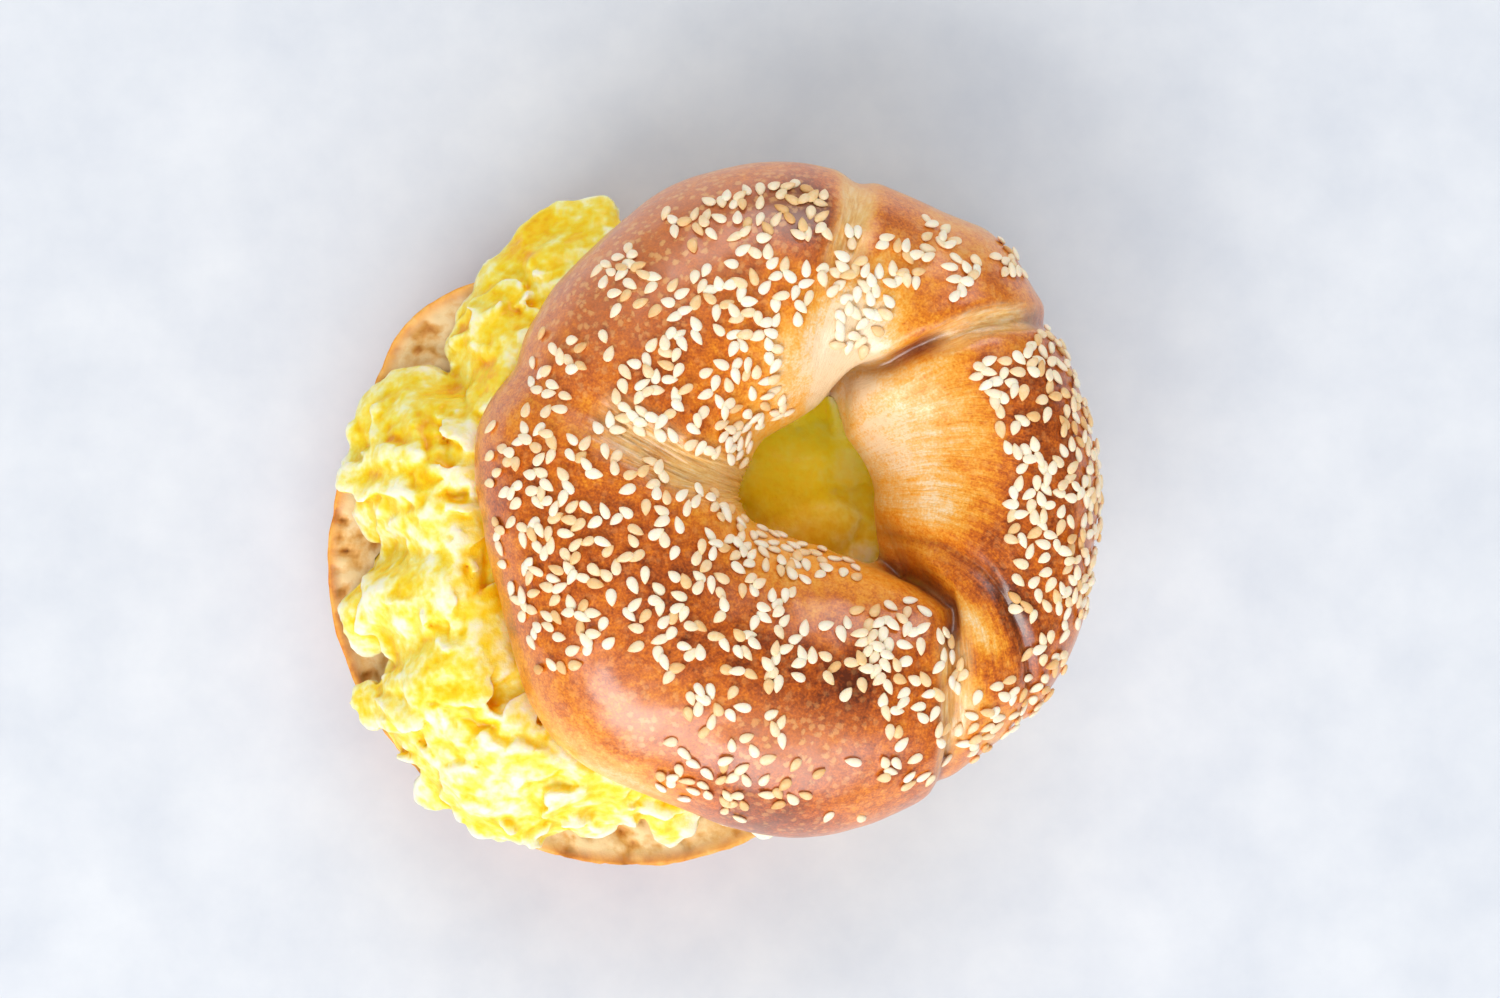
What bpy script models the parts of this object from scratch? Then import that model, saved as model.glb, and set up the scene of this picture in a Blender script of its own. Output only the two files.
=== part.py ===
"""A sesame bagel sandwich: the top half has slid to one side and rests, tilted, on folded egg.

Run it with blender --background --python part.py. Sizes are in millimetres and angles in
degrees until shape_vertices() turns them into metres. +Z is up, and the origin is below the
middle of the sandwich, on the surface that it stands on.
"""

import math

import bmesh
import bpy
import numpy as np
from mathutils import Matrix, Vector, noise

MM = 0.001
GAP = 0.35  # free air between neighbouring pieces

# The bottom half: a ring with its cut face up.
BOTTOM_CENTRE = (-13.8, -7.2)
BOTTOM_HEIGHT = 20.0
BOTTOM_CREST_SHARE = 0.5
BOTTOM_FLAT_SHARE = 0.965  # of the full depth: what lies deeper is the flat that it stands on
BOTTOM_STATIONS = (  # angle, outer radius, radius of the hole
    (0, 58.6, 11.5),
    (50, 58.0, 11.0),
    (100, 59.5, 11.8),
    (120, 62.2, 12.0),
    (129, 63.6, 12.0),
    (137, 63.1, 12.0),
    (145, 60.6, 11.9),
    (156, 59.2, 11.6),
    (180, 59.3, 11.0),
    (225, 58.6, 10.6),
    (270, 59.4, 11.2),
    (315, 58.4, 12.0),
)
RIM_HEIGHT = 0.6  # the crust stands this much proud of the shrunken crumb
RIM_WIDTH = 2.6
HOLE_RIM = (1.0, 3.0)  # the rim's own edge and foot, beyond the edge of the hole

# The top half: a twisted ring, dome up, whose cut face tilts down to the right.
TOP_HOLE_CENTRE = (19.2, 6.0)
TOP_CUT_HEIGHT = 34.0  # of the cut face, at the middle of the hole
TOP_TILT = 6.5
TOP_TILT_HEADING = 5.0  # the way that the cut face runs downhill
TOP_STATIONS = (  # angle, outer radius, radius of the hole, height, crest's share of the width
    (0, 54.6, 12.2, 25.0, 0.58),
    (30, 55.4, 11.5, 25.0, 0.58),
    (41, 56.8, 11.5, 24.5, 0.56),
    (55, 59.8, 12.4, 23.5, 0.52),
    (64, 58.4, 14.6, 23.5, 0.50),
    (73, 58.5, 17.4, 24.0, 0.50),
    (82, 60.0, 16.2, 25.0, 0.50),
    (97, 61.8, 13.4, 26.0, 0.48),
    (113, 62.0, 12.6, 26.0, 0.46),
    (130, 60.6, 12.5, 26.0, 0.45),
    (146, 60.2, 12.0, 26.0, 0.44),
    (158, 60.0, 11.2, 25.6, 0.43),
    (170, 62.4, 10.8, 25.6, 0.42),
    (186, 60.6, 11.5, 26.4, 0.42),
    (202, 60.8, 11.8, 27.0, 0.43),
    (217, 64.4, 10.3, 27.0, 0.44),
    (228, 65.6, 9.4, 27.0, 0.44),
    (246, 63.2, 8.7, 26.6, 0.45),
    (267, 64.5, 8.9, 26.4, 0.46),
    (286, 61.9, 10.3, 26.0, 0.47),
    (302, 59.2, 13.7, 25.0, 0.48),
    (318, 59.1, 17.6, 24.0, 0.50),
    (330, 58.1, 14.8, 24.0, 0.54),
    (345, 55.4, 12.6, 24.8, 0.57),
)
OUTER_FULLNESS = 2.3  # exponent of the superellipse from the crest to the outer edge
INNER_FULLNESS = 2.2
SLOPED_LOBE = (10.0, 62.0, 1.65)  # middle, half width, fullness: the lobe that leans into the hole
SKIRT_HEIGHT = 8.0  # below this the crust turns under, towards the cut
SKIRT_TUCK = 3.2
HOLE_TUCK = 1.2

# The folds where the rope of dough overlaps itself, each a path of (share of the ring's
# width, angle). They also steer the mesh, so that its edges run along them.
FOLDS = {
    "overlap": ((0.0, 74.5), (0.12, 69.0), (0.27, 60.0), (0.5, 50.5), (0.78, 41.5), (1.0, 34.5)),
    "top_groove": ((0.0, 97.0), (0.25, 92.0), (0.5, 86.5), (0.75, 83.0), (1.0, 81.0)),
    "torn_band": ((0.0, 176.0), (0.25, 171.0), (0.42, 166.0), (0.6, 162.0), (0.8, 159.5), (1.0, 157.0)),
    "tuck": ((0.0, 319.0), (0.12, 320.5), (0.28, 319.5), (0.4, 313.5), (0.66, 303.0), (1.0, 293.0)),
    "twist": ((0.0, 331.0), (0.22, 337.0), (0.42, 334.0), (0.55, 329.0), (0.85, 318.0), (1.0, 311.0)),
}
FOLD_SHAPES = {  # depth at the hole, depth at the edge, half width, lip on the far side
    "overlap": (3.6, 1.6, 1.9, 1.3),
    "top_groove": (0.4, 1.5, 2.8, 0.0),
    "torn_band": (1.3, 0.8, 3.4, 0.0),
    "tuck": (4.2, 1.0, 2.2, -1.2),
    "twist": (0.6, 0.9, 1.9, 0.5),
}
LIP_REACH = 7.0

# The mesh of each ring.
TOP_SEGMENTS = 88
TOP_DOME_STEPS = 14
CUT_FACE_STEPS = 3
BOTTOM_SEGMENTS = 44
BOTTOM_DOME_STEPS = 9

# Sesame seeds on the top half.
SEED_LENGTH = 2.95
SEED_WIDTH = 1.8
SEED_THICKNESS = 1.1
SEED_SPACING = 2.1  # least distance between the middles of two seeds
SEED_COUNT = 140
SEED_SIDES = 5
SEED_RANDOM = 11
SEED_PATCHES = (  # from angle, to angle, from share, to share of the width, weight
    (-15, 38, 0.50, 0.76, 74),
    (-25, 35, 0.76, 0.98, 84),
    (-32, -12, 0.54, 0.94, 30),
    (46, 53, 0.84, 0.97, 10),
    (54, 60, 0.62, 0.80, 8),
    (61, 68, 0.72, 0.88, 6),
    (65, 71, 0.54, 0.72, 9),
    (70, 86, 0.20, 0.70, 48),
    (86, 100, 0.34, 0.56, 16),
    (88, 112, 0.64, 0.86, 42),
    (106, 120, 0.72, 0.89, 14),
    (100, 125, 0.36, 0.64, 34),
    (108, 162, 0.05, 0.38, 78),
    (127, 137, 0.72, 0.90, 15),
    (125, 150, 0.45, 0.76, 26),
    (140, 165, 0.38, 0.60, 34),
    (149, 166, 0.74, 0.93, 17),
    (168, 200, 0.60, 0.94, 64),
    (170, 200, 0.34, 0.60, 22),
    (180, 202, 0.08, 0.34, 10),
    (198, 216, 0.34, 0.92, 34),
    (204, 226, 0.06, 0.34, 14),
    (200, 262, 0.01, 0.15, 26),
    (226, 262, 0.18, 0.50, 36),
    (234, 262, 0.54, 0.72, 14),
    (238, 264, 0.76, 0.94, 22),
    (262, 290, 0.24, 0.50, 14),
    (262, 286, 0.70, 0.94, 9),
    (285, 311, 0.22, 0.62, 60),
    (270, 300, 0.02, 0.12, 8),
    (285, 305, 0.64, 0.93, 14),
    (300, 328, 0.70, 0.98, 44),
)

# The egg: a heap on the bottom half, with folded curds fused on that reach over its rim.
EGG_STATIONS = (  # angle about the bottom half's middle, radius
    (0, 52.0),
    (45, 53.0),
    (80, 60.0),
    (97, 64.0),
    (104, 63.0),
    (111, 60.0),
    (121, 57.0),
    (130, 50.5),
    (136, 48.5),
    (143, 53.5),
    (152, 55.0),
    (160, 53.0),
    (170, 49.5),
    (177, 45.0),
    (188, 51.5),
    (195, 50.0),
    (202, 48.0),
    (210, 56.5),
    (218, 57.5),
    (228, 57.0),
    (243, 57.5),
    (250, 56.5),
    (262, 51.0),
    (275, 49.0),
    (285, 49.0),
    (297, 54.0),
    (307, 60.5),
    (318, 61.0),
    (335, 54.0),
)
EGG_EDGE_RISE = 4.0  # height of the heap's outermost line above the bottom half
EGG_CROWN = 0.8  # the heap would end this far above the top half's cut, which presses it flat
EGG_SHOULDER = 3.4  # how late the heap falls away towards its edge
EGG_DROOP = 0.55  # slope of what hangs out beyond the heap's edge
EGG_SAG = 1.2  # how far its underside would hang below the bottom half's cut face
EGG_HOLE_DIP = 4.5  # how far it stays below the cut in the top half's hole
EGG_HOLE_REACH = 15.0
EGG_LUMP = 2.4
EGG_LUMP_SIZE = 10.0
EGG_SEGMENTS = 36
EGG_RINGS = 11
CURD_SEGMENTS = 10
CURD_RINGS = 4
CURD_CORNERING = 0.62
CURD_FRAY = 0.17  # unevenness of a curd's outline, as a share of its size
CURD_WAVE = 1.0
CURD_BURIED = 2.4  # how far a curd's underside lies inside the heap
CURDS = (  # x, y, height over the heap, length, width, heading, curl, corners
    (-26.0, 54.0, 5.6, 29.0, 18.0, 16, 1.0, 4),
    (-38.0, 44.0, 3.2, 21.0, 15.0, 45, 1.2, 5),
    (-37.5, 37.5, 4.4, 18.0, 10.0, 78, 1.0, 3),
    (-36.5, 22.0, 4.6, 42.0, 18.0, 70, 1.2, 4),
    (-44.5, 32.0, 3.8, 19.0, 11.0, 76, 1.2, 4),
    (-56.0, 21.0, 4.6, 26.0, 21.0, 25, 1.4, 4),
    (-64.0, 14.0, 2.8, 12.0, 12.0, 60, 1.0, 5),
    (-60.5, 3.6, 3.4, 21.0, 15.0, 105, 1.4, 4),
    (-49.5, -5.0, 5.2, 33.0, 21.0, 95, 1.4, 5),
    (-57.0, -10.0, 4.6, 20.0, 10.0, 120, 1.0, 3),
    (-61.0, -17.0, 3.4, 22.0, 17.0, 25, 1.4, 4),
    (-42.0, -22.0, 5.2, 28.0, 18.0, 60, 1.4, 4),
    (-50.0, -31.0, 4.8, 25.0, 19.0, 120, 1.4, 5),
    (-56.0, -35.0, 3.2, 20.0, 13.0, 112, 1.4, 4),
    (-38.0, -42.0, 5.0, 26.0, 18.0, 138, 1.2, 4),
    (-45.0, -44.5, 3.2, 21.0, 13.0, 140, 1.4, 5),
    (-36.0, -55.0, 3.8, 18.0, 11.0, 85, 1.0, 3),
    (-22.0, -52.0, 4.4, 28.0, 16.0, 172, 1.4, 4),
    (-7.0, -54.5, 3.4, 21.0, 14.0, 120, 1.2, 3),
    (11.0, -54.5, 3.2, 22.0, 13.0, 5, 1.2, 4),
    (28.0, -53.5, 3.0, 21.0, 12.0, 12, 1.0, 4),
    (37.5, -36.0, 3.2, 22.0, 13.0, 55, 1.2, 4),
    (38.5, -12.0, 3.4, 25.0, 13.0, 80, 1.2, 5),
    (35.0, 14.0, 3.2, 22.0, 13.0, 100, 1.2, 4),
    (22.0, 34.5, 3.4, 24.0, 14.0, 140, 1.2, 4),
    (1.0, 48.0, 3.4, 25.0, 14.0, 165, 1.2, 5),
    (16.0, 9.5, 3.0, 24.0, 20.0, 60, 1.0, 5),
    (20.0, -1.5, 3.4, 22.0, 15.0, 15, 1.0, 4),
    (28.0, 14.0, 3.6, 22.0, 10.0, 110, 0.8, 3),
)

# name, colour, roughness of each piece's plain material
FINISHES = {
    "bagel_bottom": ((0.66, 0.33, 0.11), 0.62),
    "egg": ((0.93, 0.62, 0.08), 0.40),
    "bagel_top": ((0.50, 0.20, 0.06), 0.38),
}


def clear_scene():
    for old in list(bpy.data.objects):
        bpy.data.objects.remove(old)


def periodic(stations, column, angles):
    """One column of a station table, read at any angles along a smooth closed curve."""
    known = np.array([row[0] for row in stations], float)
    values = np.array([row[column] for row in stations], float)
    known = np.concatenate([known[-2:] - 360, known, known[:2] + 360])
    values = np.concatenate([values[-2:], values, values[:2]])
    slopes = np.gradient(values, known)
    turned = np.mod(np.asarray(angles, float) - known[1], 360) + known[1]
    i = np.clip(np.searchsorted(known, turned, side="right") - 1, 0, len(known) - 2)
    step = known[i + 1] - known[i]
    t = (turned - known[i]) / step
    return (
        (2 * t**3 - 3 * t**2 + 1) * values[i]
        + (t**3 - 2 * t**2 + t) * step * slopes[i]
        + (3 * t**2 - 2 * t**3) * values[i + 1]
        + (t**3 - t**2) * step * slopes[i + 1]
    )


def turned_apart(angle, other):
    """The signed difference of two angles, from -180 to 180."""
    return np.mod(angle - other + 180, 360) - 180


def fold_angle(name, share):
    path = np.array(FOLDS[name])
    return np.interp(share, path[:, 0], path[:, 1])


def steered(angle, share):
    """The angle of a mesh line that runs along the folds as it crosses the ring."""
    names = list(FOLDS)
    rest = np.array([fold_angle(name, 0.5) for name in names])
    rest = np.concatenate([[rest[-1] - 360], rest, [rest[0] + 360]])
    here = np.array([fold_angle(name, share) for name in names])
    here = np.concatenate([here[-1:] - 360, here, here[:1] + 360])
    turned = np.mod(angle - rest[0], 360) + rest[0]
    return np.array([np.interp(t, rest, row) for t, row in zip(turned, here.T)])


def fold_relief(angle, share, radius):
    """How far the folds raise or sink the dome, in millimetres along its normal."""
    relief = np.zeros_like(radius)
    for name, (at_hole, at_edge, half_width, lip) in FOLD_SHAPES.items():
        across = np.radians(turned_apart(angle, fold_angle(name, share))) * radius
        depth = at_hole + (at_edge - at_hole) * share
        relief -= depth * np.exp(-((across / half_width) ** 2))
        beyond = np.tanh(across / half_width) * np.exp(-np.abs(across) / LIP_REACH)
        relief += lip * beyond * (1 - 0.5 * share)
    return relief


def dome_section(angle, section_angle):
    """Radius and height of the top half's dome, before its folds.

    section_angle runs from 0 at the outer edge of the cut, over the crest at 90, to 180 at
    the hole. The share of the width is returned too: 0 at the hole and 1 outside.
    """
    outer = periodic(TOP_STATIONS, 1, angle)
    inner = periodic(TOP_STATIONS, 2, angle)
    height = periodic(TOP_STATIONS, 3, angle)
    crest = periodic(TOP_STATIONS, 4, angle)
    middle, half_width, sloped = SLOPED_LOBE
    lean = np.exp(-((turned_apart(angle, middle) / half_width) ** 4))
    inner_fullness = INNER_FULLNESS + (sloped - INNER_FULLNESS) * lean
    outside = section_angle <= 90
    power = 2 / np.where(outside, OUTER_FULLNESS, inner_fullness)
    cosine = np.abs(np.cos(np.radians(section_angle))) ** power
    share = np.where(outside, crest + (1 - crest) * cosine, crest * (1 - cosine))
    rise = height * np.sin(np.radians(np.clip(section_angle, 0, 180))) ** power
    radius = inner + (outer - inner) * share
    low = np.clip(1 - rise / SKIRT_HEIGHT, 0, 1) ** 2
    radius += np.where(outside, -SKIRT_TUCK, HOLE_TUCK) * low
    return radius, rise, share


def section_angle_at(angle, share):
    """The section angle at which the dome reaches a share of the ring's width."""
    crest = periodic(TOP_STATIONS, 4, angle)
    middle, half_width, sloped = SLOPED_LOBE
    lean = np.exp(-((turned_apart(angle, middle) / half_width) ** 4))
    inner_fullness = INNER_FULLNESS + (sloped - INNER_FULLNESS) * lean
    outside = share >= crest
    power = 2 / np.where(outside, OUTER_FULLNESS, inner_fullness)
    along = np.where(outside, (share - crest) / (1 - crest), (crest - share) / crest)
    swing = np.degrees(np.arccos(np.clip(along, 0, 1) ** (1 / power)))
    return np.where(outside, swing, 180 - swing)


def dome_points(angle, section_angle):
    """Points of the folded dome, in the top half's own frame."""
    step = 0.4
    radius, rise, share = dome_section(angle, section_angle)
    ahead = dome_section(angle, np.minimum(section_angle + step, 180))
    behind = dome_section(angle, np.maximum(section_angle - step, 0))
    along_r, along_z = ahead[0] - behind[0], ahead[1] - behind[1]
    length = np.hypot(along_r, along_z) + 1e-9
    normal_r, normal_z = along_z / length, -along_r / length
    fade = np.clip(rise / 4.0, 0, 1)
    push = fold_relief(angle, share, radius) * fade
    radius = radius + normal_r * push
    rise = rise + normal_z * push
    turn = np.radians(angle)
    return np.stack([radius * np.cos(turn), radius * np.sin(turn), rise], -1)


def torus_mesh(name, segments, section_points):
    """A torus primitive's mesh: segments sections, each a closed loop of section_points."""
    bpy.ops.mesh.primitive_torus_add(major_segments=segments, minor_segments=section_points)
    made = bpy.context.active_object
    made.name = made.data.name = name
    return made


def shape_vertices(obj, points):
    """Moves the vertices of a primitive to points given in millimetres."""
    obj.data.vertices.foreach_set("co", (np.asarray(points) * MM).astype(np.float32).ravel())
    obj.data.update()


def face_outwards(obj):
    shape = bmesh.new()
    shape.from_mesh(obj.data)
    bmesh.ops.recalc_face_normals(shape, faces=shape.faces)
    shape.to_mesh(obj.data)
    shape.free()


def fold_aligned_angles(segments):
    """Mesh angles around the ring, spread evenly between folds, with one on every fold."""
    marks = sorted(fold_angle(name, 0.5) for name in FOLDS)
    marks.append(marks[0] + 360)
    angles = []
    for start, end in zip(marks, marks[1:]):
        count = max(2, round(segments * (end - start) / 360))
        angles.extend(start + (end - start) * i / count for i in range(count))
    return np.array(angles)


def top_ring(name):
    """The top half without its seeds."""
    angles = fold_aligned_angles(TOP_SEGMENTS)
    dome = np.linspace(0, 180, TOP_DOME_STEPS + 1)
    section_points = len(dome) + CUT_FACE_STEPS
    ring = torus_mesh(name, len(angles), section_points)
    angle_grid, dome_grid = np.meshgrid(angles, dome, indexing="ij")
    _, _, share = dome_section(angle_grid, dome_grid)
    flat = steered(angle_grid.ravel(), share.ravel()).reshape(angle_grid.shape)
    arch = dome_points(flat, dome_grid)
    across = np.arange(1, CUT_FACE_STEPS + 1) / (CUT_FACE_STEPS + 1)
    cut = arch[:, -1:, :] + (arch[:, :1, :] - arch[:, -1:, :]) * across[None, :, None]
    shape_vertices(ring, np.concatenate([arch, cut], axis=1).reshape(-1, 3))
    face_outwards(ring)
    ring.matrix_world = top_frame()
    return ring


def top_frame():
    """Where the top half sits: on the egg, tilted, with its own origin in the hole."""
    place = Matrix.Translation(Vector((*TOP_HOLE_CENTRE, TOP_CUT_HEIGHT)) * MM)
    heading = Matrix.Rotation(math.radians(TOP_TILT_HEADING), 4, "Z")
    tilt = Matrix.Rotation(math.radians(TOP_TILT), 4, "Y")
    return place @ heading @ tilt @ heading.inverted()


def bottom_ring(name):
    """The bottom half: a flat foot, a rounded crust, and a cut face inside a raised rim."""
    angles = np.linspace(0, 360, BOTTOM_SEGMENTS, endpoint=False)
    crust = np.linspace(0, 180, BOTTOM_DOME_STEPS + 1)
    outer = periodic(BOTTOM_STATIONS, 1, angles)[:, None]
    inner = periodic(BOTTOM_STATIONS, 2, angles)[:, None]
    width = outer - inner
    power = 2 / OUTER_FULLNESS
    cosine = np.cos(np.radians(crust))
    swing = np.sign(cosine) * np.abs(cosine) ** power
    share = BOTTOM_CREST_SHARE + swing / 2
    full_depth = BOTTOM_HEIGHT / BOTTOM_FLAT_SHARE
    depth = np.minimum(full_depth * np.sin(np.radians(crust)) ** power, BOTTOM_HEIGHT)
    radius = inner + width * share[None, :]
    height = np.broadcast_to(BOTTOM_HEIGHT - depth, radius.shape)
    edge, foot = HOLE_RIM
    cut_radii = [inner + edge, inner + foot, inner + width / 2, outer - RIM_WIDTH]
    rim_radius = np.concatenate(cut_radii, 1)
    rim_drop = np.array([0.0, RIM_HEIGHT, RIM_HEIGHT, RIM_HEIGHT])
    rim_height = np.broadcast_to(BOTTOM_HEIGHT - rim_drop, rim_radius.shape)
    radius = np.concatenate([radius, rim_radius], 1)
    height = np.concatenate([height, rim_height], 1)
    turn = np.radians(angles)[:, None]
    points = np.stack([radius * np.cos(turn), radius * np.sin(turn), height], -1)
    ring = torus_mesh(name, BOTTOM_SEGMENTS, radius.shape[1])
    shape_vertices(ring, points.reshape(-1, 3))
    face_outwards(ring)
    ring.location = Vector((*BOTTOM_CENTRE, 0)) * MM
    bpy.context.view_layer.update()
    return ring


def seed_places(count):
    """Angles, shares of the width and headings of the seeds, densest where the bagel has most."""
    draw = np.random.default_rng(SEED_RANDOM)
    patches = np.array(SEED_PATCHES, float)
    weights = patches[:, 4] / patches[:, 4].sum()
    places, middles = [], []
    for _ in range(count * 40):
        low, high, near, far, _ = patches[draw.choice(len(patches), p=weights)]
        angle, share = draw.uniform(low, high), draw.uniform(near, far)
        heading = draw.uniform(0, 360)
        section = section_angle_at(np.array([angle]), np.array([share]))
        middle = dome_points(np.array([angle]), section)[0]
        if all(np.linalg.norm(middle - other) > SEED_SPACING for other in middles):
            places.append((angle, float(section[0]), heading))
            middles.append(middle)
        if len(places) == count:
            break
    return places


def surface_frame(angle, section):
    """A frame on the dome, its Z along the outward normal."""
    step = 0.5
    angles = np.array([angle, angle + step, angle - step, angle, angle])
    sections = np.array([section, section, section, section + step, section - step])
    middle, east, west, over, under = dome_points(angles, sections)
    along, up = Vector(east - west).normalized(), Vector(under - over)
    normal = along.cross(up).normalized()
    if normal.z < 0 and section > 20:
        normal = -normal
    side = normal.cross(along)
    frame = Matrix((along, side, normal)).transposed().to_4x4()
    return Matrix.Translation(Vector(middle) * MM) @ frame


def seed_mesh():
    """A teardrop of few sides, blunt at one end and pointed at the other."""
    rings = ((-0.34, 0.78), (0.16, 0.92))
    shape = bmesh.new()
    loops = []
    for along, across in rings:
        loop = []
        for i in range(SEED_SIDES):
            turn = 2 * math.pi * (i + 0.5) / SEED_SIDES
            y = math.cos(turn) * across * SEED_WIDTH / 2
            z = math.sin(turn) * across * SEED_THICKNESS / 2
            loop.append(shape.verts.new(Vector((along * SEED_LENGTH, y, z)) * MM))
        loops.append(loop)
    blunt = shape.verts.new((-SEED_LENGTH / 2 * MM, 0, 0))
    point = shape.verts.new((SEED_LENGTH / 2 * MM, 0, 0))
    for i in range(SEED_SIDES):
        j = (i + 1) % SEED_SIDES
        shape.faces.new((loops[0][i], loops[0][j], loops[1][j], loops[1][i]))
        shape.faces.new((blunt, loops[0][j], loops[0][i]))
        shape.faces.new((point, loops[1][i], loops[1][j]))
    bmesh.ops.recalc_face_normals(shape, faces=shape.faces)
    mesh = bpy.data.meshes.new("seed")
    shape.to_mesh(mesh)
    shape.free()
    return mesh


def scatter_seeds(ring):
    """Seed objects on the ring, in a collection that join() fuses to it."""
    seeds = bpy.data.collections.new("seeds")
    bpy.context.scene.collection.children.link(seeds)
    mesh = seed_mesh()
    for index, (angle, section, heading) in enumerate(seed_places(SEED_COUNT)):
        seed = bpy.data.objects.new(f"seed_{index:03d}", mesh)
        turn = Matrix.Rotation(math.radians(heading), 4, "Z")
        seed.matrix_world = ring.matrix_world @ surface_frame(angle, section) @ turn
        seeds.objects.link(seed)
    bpy.context.view_layer.update()
    return seeds


def join(obj, collection, operation="UNION"):
    """One Boolean with every object of a collection, applied. Those objects are then removed."""
    modifier = obj.modifiers.new(operation.lower(), "BOOLEAN")
    modifier.operand_type = "COLLECTION"
    modifier.collection = collection
    modifier.operation = operation
    modifier.solver = "MANIFOLD"
    graph = bpy.context.evaluated_depsgraph_get()
    mesh = bpy.data.meshes.new_from_object(obj.evaluated_get(graph))
    obj.modifiers.clear()
    obj.data = mesh
    for used in list(collection.objects):
        bpy.data.objects.remove(used)
    bpy.data.collections.remove(collection)


def collected(name, objects):
    group = bpy.data.collections.new(name)
    bpy.context.scene.collection.children.link(group)
    for obj in objects:
        for holder in list(obj.users_collection):
            holder.objects.unlink(obj)
        group.objects.link(obj)
    bpy.context.view_layer.update()
    return group


def cut_height(x, y):
    """Height of the top half's cut face above a point."""
    downhill = math.radians(TOP_TILT_HEADING)
    dx, dy = x - TOP_HOLE_CENTRE[0], y - TOP_HOLE_CENTRE[1]
    along = dx * math.cos(downhill) + dy * math.sin(downhill)
    return TOP_CUT_HEIGHT - along * math.tan(math.radians(TOP_TILT))


def heap_height(x, y):
    """Height of the heap's upper side above a point, also a little way beyond its edge."""
    dx, dy = x - BOTTOM_CENTRE[0], y - BOTTOM_CENTRE[1]
    from_middle = np.hypot(dx, dy)
    edge_at = periodic(EGG_STATIONS, 1, np.degrees(np.arctan2(dy, dx)))
    share = np.minimum(from_middle / edge_at, 1)
    from_hole = np.hypot(x - TOP_HOLE_CENTRE[0], y - TOP_HOLE_CENTRE[1])
    dip = EGG_HOLE_DIP * np.exp(-((from_hole / EGG_HOLE_REACH) ** 6))
    edge = BOTTOM_HEIGHT + EGG_EDGE_RISE
    crown = cut_height(x, y) + EGG_CROWN - dip
    lumps = np.array([noise.noise(Vector((a, b, 3.7)) / EGG_LUMP_SIZE) for a, b in zip(x, y)])
    height = edge + (crown - edge) * (1 - share**EGG_SHOULDER) + EGG_LUMP * lumps * share
    return height - EGG_DROOP * np.maximum(from_middle - edge_at, 0)


def egg_core(name):
    """The heap of egg without its curds: a flattened sphere pressed to the egg's outline."""
    bpy.ops.mesh.primitive_uv_sphere_add(segments=EGG_SEGMENTS, ring_count=EGG_RINGS)
    core = bpy.context.active_object
    core.name = core.data.name = name
    unit = np.array([v.co for v in core.data.vertices])
    turn = np.arctan2(unit[:, 1], unit[:, 0])
    spread = np.hypot(unit[:, 0], unit[:, 1]) ** 0.75
    radius = periodic(EGG_STATIONS, 1, np.degrees(turn)) * spread
    x = BOTTOM_CENTRE[0] + radius * np.cos(turn)
    y = BOTTOM_CENTRE[1] + radius * np.sin(turn)
    foot = BOTTOM_HEIGHT - EGG_SAG
    under = foot + EGG_EDGE_RISE / 2 * spread**20
    shape_vertices(core, np.stack([x, y, np.where(unit[:, 2] > 0, heap_height(x, y), under)], -1))
    face_outwards(core)
    return core


def curd_shape(unit, row):
    """Where points of a unit sphere go to make one curd: a frayed sheet that lies on the heap."""
    x, y, lift, length, width, heading, curl, corners = row
    reach = np.hypot(unit[:, 0], unit[:, 1])
    turn = np.arctan2(unit[:, 1], unit[:, 0])
    side = 2 * math.pi / corners
    cornered = math.cos(side / 2) / np.cos(np.mod(turn, side) - side / 2)
    outline = 1 + (cornered - 1) * CURD_CORNERING
    outline += CURD_FRAY * (np.sin(3 * turn + x) + np.sin(5 * turn + y)) / 2
    spread = reach**0.7 * outline
    along = spread * np.cos(turn) * length / 2
    across = spread * np.sin(turn) * width / 2
    cosine, sine = math.cos(math.radians(heading)), math.sin(math.radians(heading))
    px = x + along * cosine - across * sine
    py = y + along * sine + across * cosine
    ruffle = CURD_WAVE * np.sin(2 * turn + x) * spread**2 - curl * spread**2
    side = np.where(unit[:, 2] < -0.1, -CURD_BURIED, lift * (0.45 + 0.55 * unit[:, 2]) + ruffle)
    pz = heap_height(px, py) + side
    return np.stack([px, py, pz], -1)


def curd(name, row):
    bpy.ops.mesh.primitive_uv_sphere_add(segments=CURD_SEGMENTS, ring_count=CURD_RINGS)
    made = bpy.context.active_object
    made.name = made.data.name = name
    unit = np.array([v.co for v in made.data.vertices], float)
    shape_vertices(made, curd_shape(unit, row))
    face_outwards(made)
    return made


def slab(name, size, height):
    """A square block, wider than the sandwich, that starts at a height above its own origin."""
    bpy.ops.mesh.primitive_cube_add(size=1)
    made = bpy.context.active_object
    made.name = made.data.name = name
    unit = np.array([v.co for v in made.data.vertices])
    shape_vertices(made, (unit + (0, 0, 0.5)) * size + (0, 0, height))
    return made


def egg_heap(name):
    """The egg, pressed flat where the top half lies on it and where it lies on the bottom half."""
    heap = egg_core(name)
    curds = [curd(f"curd_{i:02d}", row) for i, row in enumerate(CURDS)]
    join(heap, collected("curds", curds))
    above = slab("above", (300, 300, 60), -GAP)
    above.matrix_world = top_frame()
    below = bottom_plug("below")
    join(heap, collected("cutters", [above, below]), "DIFFERENCE")
    drop_scraps(heap)
    return heap


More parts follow.
